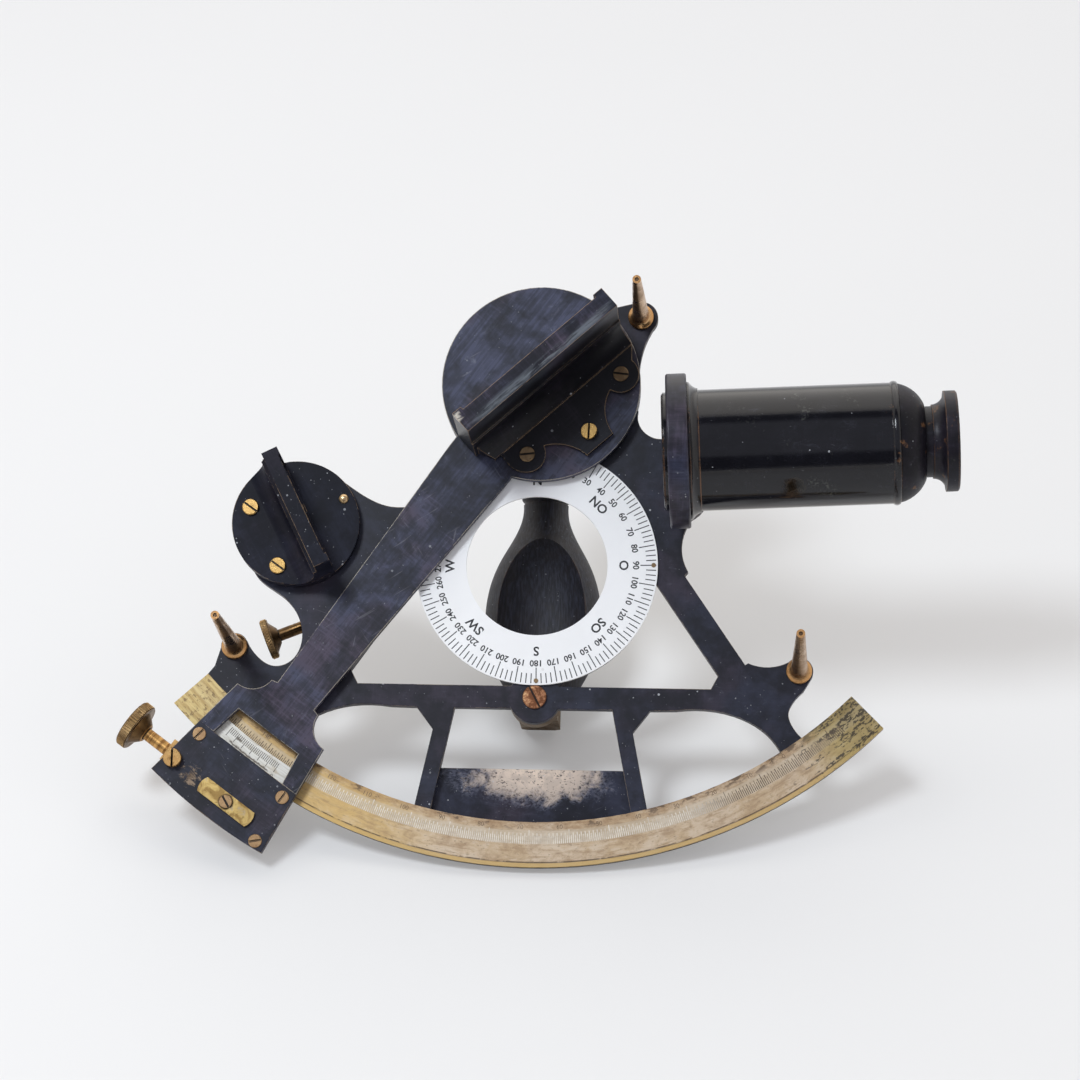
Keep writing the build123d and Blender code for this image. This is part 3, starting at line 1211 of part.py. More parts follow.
def collar_socket():
    """Guides the collar's stem behind the frame lug."""
    low_s, high_s = STEM_S[0] - SOCKET_WALL, STEM_S[1] + SOCKET_WALL
    half_w = STEM_HALF_W + SOCKET_WALL
    body = bar((low_s, high_s), (-half_w, half_w), (SOCKET_LOW_Z, FRAME_BACK))
    body += bar((low_s - SOCKET_FLANGE, high_s + SOCKET_FLANGE),
                (-SOCKET_FLANGE_HALF_W, SOCKET_FLANGE_HALF_W), (FRAME_BACK - FLANGE_T, FRAME_BACK))
    body = under_scope(body) - stem_slot(SOCKET_LOW_Z + SOCKET_FLOOR_T, FRAME_BACK + 1, 2 * RUN)
    mid_s = (STEM_S[0] + STEM_S[1]) / 2
    body -= under_scope(rod(STEM_ROD_R + 2 * RUN, SOCKET_LOW_Z - 1, 0, mid_s, 0))
    for x, y in socket_screw_points():
        body -= back_screw_hole(x, y, FRAME_BACK - FLANGE_T)
    return body


def collar_nut():
    """The milled nut that raises and lowers the telescope."""
    top = SOCKET_LOW_Z - 2 * FACE_GAP
    low = top - COLLAR_NUT_T
    mid_s = (STEM_S[0] + STEM_S[1]) / 2
    hub_r, hub_h = COLLAR_NUT_HUB
    bore_r = STEM_ROD_R + RUN
    body = spun((bore_r, low), (COLLAR_NUT_R - KNOB_EDGE, low), (COLLAR_NUT_R, low + KNOB_EDGE),
                (COLLAR_NUT_R, top - hub_h - KNOB_EDGE), (hub_r, top - hub_h), (hub_r, top), (bore_r, top))
    return under_scope(Pos(mid_s, 0, 0) * body)


def telescope_barrel():
    """Tube, front moulding and rear bead, screwed into the collar from behind."""
    collar_end = COLLAR_S[1]
    start, end = BARREL_S
    outside = [
        Line((CELL_FLANGE_T, 0), (CELL_FLANGE_T, THREAD_R)),
        Line((CELL_FLANGE_T, THREAD_R), (collar_end, THREAD_R)),
        Line((collar_end, THREAD_R), (collar_end, MOULD_R)),
        Line((collar_end, MOULD_R), (collar_end + 0.8, MOULD_R)),
        ThreePointArc((collar_end + 0.8, MOULD_R), (collar_end + 1.9, BARREL_R + 1.7),
                      (start - 0.5, BARREL_R + 0.7)),
        Line((start - 0.5, BARREL_R + 0.7), (start, BARREL_R + 0.7)),
        Line((start, BARREL_R + 0.7), (start, BARREL_R)),
        Line((start, BARREL_R), (end, BARREL_R)),
        Line((end, BARREL_R), (end, BEAD_R - 0.4)),
        ThreePointArc((end, BEAD_R - 0.4), ((end + BEAD_END_S) / 2, BEAD_R + 0.1),
                      (BEAD_END_S, BEAD_R - 0.4)),
        Line((BEAD_END_S, BEAD_R - 0.4), (BEAD_END_S, 0)),
        Line((BEAD_END_S, 0), (CELL_FLANGE_T, 0)),
    ]
    body = revolve(make_face(Wire(outside)), Axis.X)
    lip_r, lip_t = LENS_LIP
    bore = lathe((0, 0), (0, LENS_SEAT_R), (LENS_SEAT_S, LENS_SEAT_R), (LENS_SEAT_S, lip_r),
                 (LENS_SEAT_S + lip_t, lip_r), (LENS_SEAT_S + lip_t, BARREL_BORE_R),
                 (BEAD_END_S + 1, BARREL_BORE_R), (BEAD_END_S + 1, 0))
    return on_scope(body - bore)


def objective_cell():
    """The rim in front of the barrel, with a neck that screws into it."""
    neck_r = LENS_SEAT_R - SEAT
    return on_scope(lathe((0, CELL_BORE_R), (0, CELL_R - 0.4), (CELL_FLANGE_T / 2, CELL_R),
                          (CELL_FLANGE_T, CELL_R), (CELL_FLANGE_T, neck_r), (CELL_NECK_S, neck_r),
                          (CELL_NECK_S, CELL_BORE_R)))


def lens(middle_s, radius, edge_t, bulge):
    """A biconvex glass with two spherical faces centred on the axis."""
    ball_r = (radius ** 2 + bulge ** 2) / (2 * bulge)
    edge = edge_t / 2
    crown = edge + bulge
    part_way = crown - ball_r + sqrt(ball_r ** 2 - radius ** 2 / 4)
    edges = [
        Line((-crown, 0), (crown, 0)),
        ThreePointArc((crown, 0), (part_way, radius / 2), (edge, radius)),
        Line((edge, radius), (-edge, radius)),
        ThreePointArc((-edge, radius), (-part_way, radius / 2), (-crown, 0)),
    ]
    return on_scope(Pos(middle_s, 0, 0) * revolve(make_face(Wire(edges)), Axis.X))


def objective_lens():
    return lens(LENS_S, LENS_SEAT_R - SEAT, LENS_EDGE_T, LENS_BULGE)


def eyepiece_housing():
    """The domed rear cap of the barrel with the guide for the draw tube."""
    start, end = DOME_S
    bore_r = DRAW_R + RUN
    edges = [
        Line((start, bore_r), (start, DOME_R)),
        ThreePointArc((start, DOME_R), (start + 6.8, DOME_R - 3.6), (end, DOME_END_R)),
        Line((end, DOME_END_R), (end, bore_r)), Line((end, bore_r), (start, bore_r)),
    ]
    dome = revolve(make_face(Wire(edges)), Axis.X)
    plug_r = BARREL_BORE_R - SEAT
    plug = lathe((start - PLUG_L, bore_r), (start - PLUG_L, plug_r), (start, plug_r), (start, bore_r))
    return on_scope(dome + plug)


def draw_tube():
    end = CUP_S[0] + CUP_SOCKET
    return on_scope(lathe((DRAW_IN_S, DRAW_BORE_R), (DRAW_IN_S, DRAW_R), (end, DRAW_R), (end, DRAW_BORE_R)))


def eyecup():
    start, end = CUP_S
    floor = start + CUP_SOCKET
    edges = [
        Line((start, DRAW_R + SEAT), (start, DRAW_R + 0.6)),
        ThreePointArc((start, DRAW_R + 0.6), (start + 2.6, DRAW_R + 1.4), (CUP_RIM_S, CUP_RIM_R - 0.6)),
        Line((CUP_RIM_S, CUP_RIM_R - 0.6), (CUP_RIM_S, CUP_RIM_R)),
        Line((CUP_RIM_S, CUP_RIM_R), (end - 0.6, CUP_RIM_R)),
        Line((end - 0.6, CUP_RIM_R), (end, CUP_RIM_R - 0.6)),
        Line((end, CUP_RIM_R - 0.6), (end - CUP_DISH, CUP_HOLE_R)),
        Line((end - CUP_DISH, CUP_HOLE_R), (floor, CUP_HOLE_R)),
        Line((floor, CUP_HOLE_R), (floor, DRAW_R + SEAT)),
        Line((floor, DRAW_R + SEAT), (start, DRAW_R + SEAT)),
    ]
    return on_scope(revolve(make_face(Wire(edges)), Axis.X))


def eye_lens():
    return lens(CUP_S[0] - EYE_LENS_SET, DRAW_BORE_R - SEAT, EYE_LENS_EDGE_T, EYE_LENS_BULGE)


# ================================================================ all the nodes
def all_parts():
    parts = {
        "frame_plate": frame_plate(),
        "limb_arc": limb_arc(),
        "limb_rivets": limb_rivets(),
        "compass_ring": compass_ring(),
        "ring_pins": ring_pins(),
        "souvenir_plate": souvenir_plate(),
        "back_screws": [back_screw(x, y, z, 30) for x, y, z in back_screw_table()],
        "handle_screw": handle_screw(),
        "handle_pillar": handle_pillar(),
        "handle_foot_block": handle_foot_block(),
        "handle_top_bracket": handle_top_bracket(),
        "top_bracket_screw": top_bracket_screw(),
        "handle_grip": handle_grip(),
        "handle_rod": handle_rod(),
        "handle_nut": handle_nut(),
        "index_bearing": index_bearing(),
        "horizon_bush": horizon_bush(),
        "adjuster_block": adjuster_block(),
        "collar_socket": collar_socket(),
        "index_arm": index_arm(),
        "index_cover_plate": index_cover_plate(),
        "cover_screws": cover_screws(),
        "brass_tab": brass_tab(),
        "vernier_plate": vernier_plate(),
        "index_axle": index_axle(),
        "axle_nut": axle_nut(),
        "index_mirror_bracket": index_mirror_bracket(),
        "index_mirror": index_mirror(),
        "index_bracket_screws": index_bracket_screws(),
        "index_adjust_screw": index_adjust_screw(),
        "tangent_bearing": tangent_bearing(),
        "tangent_bearing_screw": tangent_bearing_screw(),
        "tangent_screw": tangent_screw(),
        "clamp_carriage": clamp_carriage(),
        "clamp_screw": clamp_screw(),
        "horizon_disc": horizon_disc(),
        "horizon_bracket": horizon_bracket(),
        "horizon_mirror": horizon_mirror(),
        "horizon_screws": horizon_screws(),
        "horizon_pin": horizon_pin(),
        "horizon_axle": horizon_axle(),
        "horizon_axle_nut": horizon_axle_nut(),
        "horizon_lever": horizon_lever(),
        "horizon_adjust_screw": horizon_adjust_screw(),
        "telescope_collar": telescope_collar(),
        "collar_nut": collar_nut(),
        "telescope_barrel": telescope_barrel(),
        "objective_cell": objective_cell(),
        "objective_lens": objective_lens(),
        "eyepiece_housing": eyepiece_housing(),
        "draw_tube": draw_tube(),
        "eyecup": eyecup(),
        "eye_lens": eye_lens(),
    }
    for name, (x, y) in LEG_XY.items():
        parts[name] = leg(x, y, *LEG_LEAN[name])
    return parts


def main():
    os.makedirs("parts", exist_ok=True)
    for name, shape in all_parts().items():
        solids = Compound(children=list(shape)) if isinstance(shape, list) else shape
        export_step(solids, f"parts/{name}.step")


main()
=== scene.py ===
"""Dresses the packed sextant: engraved scales, milled knobs, worn finishes, floor, lamps and camera."""

import json
from math import cos, pi, radians, sin

import bmesh
import bpy
from mathutils import Matrix, Vector


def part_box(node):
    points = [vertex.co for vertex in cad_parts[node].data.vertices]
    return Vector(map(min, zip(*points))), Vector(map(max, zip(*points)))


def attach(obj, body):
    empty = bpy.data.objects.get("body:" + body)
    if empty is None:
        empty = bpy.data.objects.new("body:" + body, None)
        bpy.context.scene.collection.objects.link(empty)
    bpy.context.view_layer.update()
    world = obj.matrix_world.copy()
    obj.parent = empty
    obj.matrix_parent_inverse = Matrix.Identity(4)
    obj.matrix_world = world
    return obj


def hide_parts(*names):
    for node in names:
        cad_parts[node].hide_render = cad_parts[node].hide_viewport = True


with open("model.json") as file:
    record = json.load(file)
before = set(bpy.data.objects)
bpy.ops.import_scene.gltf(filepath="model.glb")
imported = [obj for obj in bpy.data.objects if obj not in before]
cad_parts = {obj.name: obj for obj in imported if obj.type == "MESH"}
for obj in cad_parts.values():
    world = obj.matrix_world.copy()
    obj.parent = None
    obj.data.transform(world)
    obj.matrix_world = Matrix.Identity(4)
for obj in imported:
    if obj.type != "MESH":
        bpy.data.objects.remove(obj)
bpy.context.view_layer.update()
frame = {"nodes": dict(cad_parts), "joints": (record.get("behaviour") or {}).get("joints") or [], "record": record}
NODES = frame["nodes"]
MM = 0.001

bl_info = {
    "name": "Vernier Sextant",
    "version": (1, 0, 0),
    "blender": (4, 5, 0),
    "location": "View3D > Sidebar > Sextant",
    "description": "Dresses a packed sextant with scales, milled knobs and worn finishes",
    "category": "Object",
}

LIMB_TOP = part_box("limb_arc")[1].z
RING_LOW, RING_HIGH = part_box("compass_ring")
RING_TOP = RING_HIGH.z
RING_CENTRE = Vector(((RING_LOW.x + RING_HIGH.x) / 2, (RING_LOW.y + RING_HIGH.y) / 2, 0))
VERNIER_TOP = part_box("vernier_plate")[1].z
# Swing is the angle at the index pivot from straight down, positive to the right.
ARM_SWING = radians(-36.1)
# How far the brushing of these pieces is turned from X, anticlockwise.
MIRROR_TURN, HORIZON_TURN, SCOPE_TURN = radians(42.1), radians(-60), radians(3.05)
# Patterns along the limb are unrolled at this radius.
UNROLLED = 177.0 * MM
# Capitals take up this share of the font's size.
CAPITALS = 0.70


# ------------------------------------------------------------------ sizes and colours
def size_prop(name, description, millimetres):
    return bpy.props.FloatProperty(
        name=name, description=description, default=millimetres * MM, unit="LENGTH")


def sizes_prop(name, description, millimetres):
    return bpy.props.FloatVectorProperty(
        name=name, description=description, default=[size * MM for size in millimetres], unit="LENGTH")


def angle_prop(name, description, degrees):
    return bpy.props.FloatProperty(
        name=name, description=description, default=radians(degrees), subtype="ANGLE")


def colour_prop(name, description, colour):
    return bpy.props.FloatVectorProperty(
        name=name, description=description, default=colour, subtype="COLOR")


def share_prop(name, description, share):
    return bpy.props.FloatProperty(
        name=name, description=description, default=share, min=0, max=1, subtype="FACTOR")


class SextantScales(bpy.types.PropertyGroup):
    """Engraved scales of the limb and the vernier."""

    baseline: size_prop("Limb baseline", "Radius where the limb's divisions start", 176.7)
    zero_swing: angle_prop("Zero", "Swing of the limb's zero", 34.9)
    first_swing: angle_prop("First division", "Swing of the division furthest left", -42.1)
    division: angle_prop("Division", "Swing between two divisions", 0.25)
    divisions: bpy.props.IntProperty(
        name="Divisions", description="How many divisions the limb has", default=336)
    lengths: sizes_prop("Division lengths", "Short, middle and long divisions", (3.0, 4.0, 5.2))
    line: size_prop("Line width", "Width of an engraved line", 0.3)
    relief: size_prop("Relief", "How far the filling stands out of its line", 0.03)
    number_radius: size_prop("Number radius", "Radius of the middle of the limb's numbers", 170.5)
    number_height: size_prop("Number height", "Height of the limb's numbers", 1.7)
    number_shift: angle_prop("Number shift", "How far a number stands left of its division", 1.15)
    vernier_radius: size_prop("Vernier edge", "Radius where the vernier's divisions start", 176.3)
    vernier_first: angle_prop("Vernier end", "Swing of the vernier's left end", -40.1)
    vernier_division: angle_prop(
        "Vernier division", "Swing between two of the vernier's divisions", 0.246)


class SextantRing(bpy.types.PropertyGroup):
    """Marks of the compass ring."""

    tick_radius: size_prop("Tick radius", "Outer end of the ticks", 45.4)
    lengths: sizes_prop("Tick lengths", "Short, middle and long ticks", (3.8, 3.8, 6.0))
    line: size_prop("Line width", "Width of a printed tick", 0.36)
    skew: angle_prop("Skew", "How far the ring sits turned, anticlockwise", 1.1)
    numeral_radius: size_prop("Numeral radius", "Radius of the middle of the numerals", 37.6)
    numeral_height: size_prop("Numeral height", "Height of the numerals", 2.3)
    letter_radius: size_prop("Letter radius", "Radius of the middle of the letters", 32.9)
    letter_height: size_prop("Letter height", "Height of the letters", 3.4)


class SextantKnurls(bpy.types.PropertyGroup):
    """Milled edges of the knobs."""

    depth: size_prop("Depth", "Depth of the milling", 0.45)
    pitch: size_prop("Pitch", "Distance between two ribs along the rim", 1.05)
    slant: angle_prop("Slant", "Lean of the ribs of the horizon knob", 24)


class SextantFinishes(bpy.types.PropertyGroup):
    """Colours and wear of the finishes."""

    lacquer: colour_prop("Lacquer", "Black lacquer, deep part", (0.005, 0.0055, 0.010))
    lacquer_haze: colour_prop(
        "Blue haze", "Haze of the lacquer where it is bluish", (0.050, 0.056, 0.100))
    lacquer_bloom: colour_prop(
        "Warm haze", "Haze of the lacquer where it is warmer", (0.066, 0.052, 0.082))
    scope: colour_prop("Telescope lacquer", "Glossy lacquer of the telescope", (0.005, 0.005, 0.007))
    patina: colour_prop("Limb patina", "Pale patina of the limb", (0.54, 0.40, 0.25))
    brass: colour_prop("Brass", "Bright brass", (0.60, 0.38, 0.13))
    copper: colour_prop("Copper", "Reddish brass", (0.46, 0.22, 0.11))
    wear: share_prop("Wear", "How far the edges are rubbed", 0.9)
    dust: share_prop("Dust", "How much dust lies on the lacquer", 0.7)


class SextantStage(bpy.types.PropertyGroup):
    """Floor, lamps and camera."""

    floor: colour_prop("Floor", "Colour of the floor", (0.80, 0.80, 0.80))
    floor_lift: share_prop(
        "Floor lift", "How far the floor's shadows are lightened where it is seen", 0.22)
    floor_tilt: angle_prop("Floor tilt", "Lean of the floor under the resting instrument", 35.3)
    floor_drop: size_prop("Floor distance", "Distance of the floor from the index pivot", 110.9)
    key_colour: colour_prop("Key colour", "Colour of the lamp above the left side", (0.88, 0.94, 1.0))
    key_power: bpy.props.FloatProperty(
        name="Key lamp", description="Power of the lamp above the left side", default=15.0, unit="POWER")
    key_size: size_prop("Key size", "Width of that lamp", 500.0)
    walls: bpy.props.FloatProperty(
        name="Walls", description="Strength of the light from the sides", default=0.95)
    back_wall: bpy.props.FloatProperty(
        name="Back wall", description="What the low wall beyond the upper edge adds", default=0.85)
    ceiling: bpy.props.FloatProperty(
        name="Ceiling", description="Strength of the light from above", default=0.05)
    panel: bpy.props.FloatProperty(
        name="Panel", description="What a soft panel overhead adds to the ceiling", default=0.44)
    focal: bpy.props.FloatProperty(
        name="Focal length", description="Focal length of the camera, in millimetres", default=135.2)


GROUPS = (
    ("sextant_scales", SextantScales), ("sextant_ring", SextantRing), ("sextant_knurls", SextantKnurls),
    ("sextant_finishes", SextantFinishes), ("sextant_stage", SextantStage))


# ------------------------------------------------------------------ node trees
class Signal:
    """A node's output. Plain arithmetic with it adds Math nodes."""

    def __init__(self, wiring, socket):
        self.wiring, self.socket = wiring, socket

    def __add__(self, other):
        return self.wiring.math("ADD", self, other)

    def __sub__(self, other):
        return self.wiring.math("SUBTRACT", self, other)

    def __rsub__(self, other):
        return self.wiring.math("SUBTRACT", other, self)

    def __mul__(self, other):
        return self.wiring.math("MULTIPLY", self, other)

    __radd__, __rmul__ = __add__, __mul__

    def rise(self, low, high, start=0.0, end=1.0):
        """A soft step from start to end, between low and high."""
        return self.wiring.take("ShaderNodeMapRange", {
            "Value": self, "From Min": low, "From Max": high, "To Min": start, "To Max": end},
            "Result", interpolation_type="SMOOTHSTEP")

    def fall(self, low, high):
        """A soft step from 1 down to 0, between low and high."""
        return self.rise(low, high, 1.0, 0.0)

    def within(self, low, high, soft):
        """1 between low and high, with soft ends."""
        return self.rise(low - soft, low + soft) * self.fall(high - soft, high + soft)


class Wiring:
    """Adds nodes to a tree and joins them."""

    def __init__(self, tree):
        self.tree = tree

    def feed(self, socket, value):
        if isinstance(value, Signal):
            self.tree.links.new(value.socket, socket)
        else:
            socket.default_value = value

    def node(self, kind, inputs=None, **settings):
        made = self.tree.nodes.new(kind)
        for name, value in settings.items():
            setattr(made, name, value)
        for name, value in (inputs or {}).items():
            self.feed(made.inputs[name], value)
        return made

    def take(self, kind, inputs=None, output=0, **settings):
        """Adds a node and gives one of its outputs."""
        return Signal(self, self.node(kind, inputs, **settings).outputs[output])

    def outputs(self, node):
        """A node's outputs, by name."""
        return {socket.name: Signal(self, socket) for socket in node.outputs}

    def math(self, operation, *values, clamp=False):
        return self.take("ShaderNodeMath", dict(enumerate(values)), operation=operation, use_clamp=clamp)

    def vector_math(self, operation, *values, output=0):
        return self.take("ShaderNodeVectorMath", dict(enumerate(values)), output, operation=operation)

    def most(self, first, *others):
        for other in others:
            first = self.math("MAXIMUM", first, other)
        return first

    def blend(self, share, low, high):
        return self.take("ShaderNodeMix", {0: share, 6: tint(low), 7: tint(high)}, 2, data_type="RGBA")

    def parts(self, vector):
        return list(self.outputs(self.node("ShaderNodeSeparateXYZ", {0: vector})).values())

    def join(self, x, y=0.0, z=0.0):
        return self.take("ShaderNodeCombineXYZ", {0: x, 1: y, 2: z})

    def mapped(self, place, scale=(1, 1, 1), turn=0.0, shift=(0, 0, 0)):
        """A place scaled, then turned about Z, then shifted."""
        return self.take("ShaderNodeMapping", {
            "Vector": place, "Scale": scale, "Rotation": (0, 0, turn), "Location": shift})

    def noise(self, place, scale, detail, rough, warp=0.0):
        """Clouds; a scale of three numbers stretches them."""
        if isinstance(scale, tuple):
            place, scale = self.mapped(place, scale), 1
        return self.take("ShaderNodeTexNoise", {
            "Vector": place, "Scale": scale, "Detail": detail, "Roughness": rough,
            "Distortion": warp}, "Fac")


def tint(colour):
    """A colour with its alpha, or the signal itself."""
    return colour if isinstance(colour, Signal) else (*tuple(colour)[:3], 1.0)


def shaded(colour, share):
    """A colour times a share, at most white."""
    return tuple(min(1, share * c) for c in colour)


def node_group(name, inputs, outputs, kind="ShaderNodeTree"):
    """An empty node group: its wiring, its inputs and its ends. An input without a value is a place."""
    tree = bpy.data.node_groups.new(name, kind)
    for socket, value in inputs.items():
        shape = {float: "Float", int: "Int"}.get(type(value), "Vector")
        made = tree.interface.new_socket(socket, in_out="INPUT", socket_type="NodeSocket" + shape)
        if value is not None:
            made.default_value = value
    for socket in outputs:
        shape = {"Rounded": "Vector", "Geometry": "Geometry"}.get(socket, "Float")
        tree.interface.new_socket(socket, in_out="OUTPUT", socket_type="NodeSocket" + shape)
    wiring = Wiring(tree)
    return wiring, wiring.outputs(wiring.node("NodeGroupInput")), wiring.node("NodeGroupOutput").inputs


# ------------------------------------------------------------------ shared effects
def rubbed_edges():
    """Mask of edges in patches, for rubbed wear and painted highlights, and a normal that rounds them."""
    w, source, sink = node_group(
        "rubbed_edges", {"Place": None, "Width": 0.5 * MM, "Patches": 60.0, "Cover": 0.5, "Amount": 1.0},
        ("Mask", "Rounded"))
    rounded = w.take("ShaderNodeBevel", {"Radius": source["Width"]}, samples=6)
    true = w.take("ShaderNodeNewGeometry", output="Normal")
    bend = 1.0 - w.vector_math("DOT_PRODUCT", rounded, true, output="Value")
    patches = w.noise(source["Place"], source["Patches"], 5, 0.6)
    fine = w.noise(source["Place"], 900, 2, 0.5)
    broken = patches + (fine - 0.5) * 0.4 + source["Cover"] * 0.4
    w.feed(sink["Mask"], bend.rise(0.01, 0.12) * broken.rise(0.60, 0.80) * source["Amount"])
    w.feed(sink["Rounded"], rounded)
    return w.tree


def hair_scratches():
    """Fine scratches: a brushed grain along X of the place, a hatch across it, and single strokes."""
    w, source, sink = node_group(
        "hair_scratches", {"Place": None, "Density": 0.5}, ("Grain", "Hatch", "Strokes"))
    place = source["Place"]
    w.feed(sink["Grain"], w.noise(place, (45, 1100, 1100), 4, 0.65))
    w.feed(sink["Hatch"], w.noise(w.mapped(place, (950, 60, 60), 0.12), 1, 4, 0.65))
    limit = 0.80 - source["Density"] * 0.12
    strokes = []
    # A stroke is turned first and then stretched, so that the three sets cross.
    for turn, stretch in ((0.35, 900), (1.9, 1100), (2.7, 800)):
        lines = w.noise(w.mapped(place, turn=turn), (55, stretch, stretch), 2, 0.5)
        near = w.noise(w.mapped(place, (35, 35, 35), shift=(turn, 0, turn)), 1, 2, 0.5)
        strokes.append((lines - limit).rise(0.0, 0.06) * near.rise(0.45, 0.62))
    w.feed(sink["Strokes"], w.most(*strokes))
    return w.tree


def dust_specks():
    """Small pale specks of uneven size, thicker in some places, each paler or duller than the next."""
    w, source, sink = node_group(
        "dust_specks", {"Place": None, "Cells": 220.0, "Amount": 0.5}, ("Mask",))
    cells = w.outputs(w.node("ShaderNodeTexVoronoi", {"Vector": source["Place"], "Scale": source["Cells"]}))
    chance, girth, paleness = w.parts(cells["Color"])
    drifts = w.noise(source["Place"], 45, 3, 0.6).rise(0.35, 0.65, 0.25, 1.0)
    chosen = w.math("GREATER_THAN", chance, 1.0 - source["Amount"] * drifts)
    inside = w.math("LESS_THAN", cells["Distance"], 0.08 + w.math("POWER", girth, 3.0) * 0.14)
    w.feed(sink["Mask"], chosen * inside * (0.35 + paleness * 0.65))
    return w.tree


def uneven_tone():
    """Clouds of three sizes, for colour and gloss that vary over a surface."""
    w, source, sink = node_group(
        "uneven_tone", {"Place": None, "Scale": 40.0}, ("Cloud", "Drift", "Mottle", "Fine"))
    place, scale = source["Place"], source["Scale"]
    elsewhere = w.vector_math("ADD", place, Vector((0.37, 0.11, 0.23)))
    w.feed(sink["Cloud"], w.noise(place, scale, 5, 0.6, 0.6))
    w.feed(sink["Drift"], w.noise(elsewhere, scale, 3, 0.5))
    w.feed(sink["Mottle"], w.noise(place, scale * 5.0, 4, 0.6, 0.3))
    w.feed(sink["Fine"], w.noise(place, scale * 26.0, 3, 0.6))
    return w.tree


def crevice_grime():
    """Mask of slots, knurls and corners from ambient occlusion: painted shade where light is blocked, and dirt."""
    w, source, sink = node_group("crevice_grime", {"Reach": 1.2 * MM, "Amount": 1.0}, ("Mask",))
    open_share = w.take("ShaderNodeAmbientOcclusion", {"Distance": source["Reach"]}, "AO", samples=12)
    w.feed(sink["Mask"], open_share.fall(0.58, 0.90) * source["Amount"])
    return w.tree


EFFECTS = {}


def effect(make):
    """One shared effect, built once."""
    if make not in EFFECTS:
        EFFECTS[make] = make()
    return EFFECTS[make]


# ------------------------------------------------------------------ finishes
class Coat(Wiring):
    """A new material, whose colour is laid on in layers."""

    def __init__(self, name):
        self.material = bpy.data.materials.new(name)
        self.material.use_nodes = True
        super().__init__(self.material.node_tree)
        self.shader = self.tree.nodes["Principled BSDF"]
        self.place = self.take("ShaderNodeTexCoord", output="Object")

    def group(self, make, place=None, **inputs):
        """Puts in a shared effect, at the object's place if no other is given; gives its outputs."""
        made = self.node("ShaderNodeGroup", node_tree=effect(make))
        for socket in made.inputs:
            if socket.name == "Place":
                self.feed(socket, place or self.place)
            elif socket.name.lower() in inputs:
                self.feed(socket, inputs[socket.name.lower()])
        return self.outputs(made)

    def lay(self, mask, colour):
        """Lays a colour over the others, where the mask is 1."""
        self.colour = self.blend(mask, self.colour, colour)

    def polar(self):
        """Radius and swing, in radians, of a place on the instrument's face."""
        x, y, _ = self.parts(self.place)
        return self.math("SQRT", x * x + y * y), self.math("ARCTAN2", x, y * -1.0)

    def away(self, place, middle, ragged, spread):
        """Distance from a middle, made uneven by a ragged cloud; middle and spread are in millimetres."""
        middle = Vector([c * MM for c in middle])
        distance = self.vector_math("DISTANCE", place, middle, output="Value")
        return distance + (ragged - 0.5) * (spread * MM)

    def done(self, rough, height=None, relief=0.0, others=None, rounded=None):
        """Feeds the shader its colour, roughness, other inputs and a bump as high as relief."""
        inputs = {"Base Color": self.colour, "Roughness": rough} | (others or {})
        if height:
            under = {"Normal": rounded} if rounded else {}
            inputs["Normal"] = self.take("ShaderNodeBump", {"Height": height, "Distance": relief} | under)
        for name, value in inputs.items():
            self.feed(self.shader.inputs[name], value)
        return self.material


def lacquer_finish(name, colours, dust, wear, gloss=0.42, haze=1.0, along=0.0, edge=(0.34, 0.27, 0.20),
                   edge_width=0.45 * MM, cover=0.4, scratch=0.5, brush=0.3, sheen=0.3, extra=None):
    """Black lacquer over brass: two-tint haze, crossed brushing, strokes, dust, edges of wear and painted
    highlight.
    """
    c = Coat(name)
    deep, blue, warm = colours
    turned = c.mapped(c.place, turn=-along)
    tone = c.group(uneven_tone, scale=32.0)
    lines = c.group(hair_scratches, place=turned, density=scratch)
    cloud = (tone["Cloud"] * 0.65 + tone["Mottle"] * 0.35).rise(0.40, 0.64)
    brushed = lines["Grain"].rise(0.38, 0.66) * brush
    crossed = lines["Hatch"].rise(0.48, 0.68) * tone["Drift"].rise(0.40, 0.56) * (1.6 * brush)
    misty = (0.12 + cloud * 0.88) * (0.75 - 0.75 * brush + (brushed + crossed)) * haze
    hazy = c.blend(tone["Drift"].rise(0.44, 0.60), blue, warm)
    c.colour = c.blend(c.math("MINIMUM", misty, 1.0), deep, hazy)
    wisps = c.noise(turned, (170, 300, 300), 7, 0.8, 0.5).rise(0.54, 0.74)
    c.lay(wisps * cloud * (0.5 * haze), (0.14, 0.15, 0.20))
    c.lay(lines["Strokes"] * 0.32, (0.20, 0.20, 0.23))
    if extra:
        extra(c)
    coarse = c.group(dust_specks, cells=420.0, amount=0.22 * dust)["Mask"]
    small = c.group(dust_specks, cells=850.0, amount=0.30 * dust)["Mask"]
    specks = c.most(coarse, small * 0.6)
    c.lay(specks * 0.8, (0.50, 0.52, 0.55))
    # Pale edges in patches: rubbed wear, and painted highlights where edges would catch the light.
    edges = c.group(rubbed_edges, width=edge_width, patches=55.0, cover=cover, amount=wear)
    c.lay(edges["Mask"], edge)
    rough = c.math("ADD", gloss - 0.05 + tone["Mottle"] * 0.1, specks * 0.3, clamp=True)
    height = lines["Grain"] * 0.5 + tone["Fine"] * 0.5 - edges["Mask"] * 0.4
    others = {"Metallic": edges["Mask"] * 0.5, "Specular IOR Level": sheen}
    return c.done(rough, height, 0.03 * MM, others, edges["Rounded"])


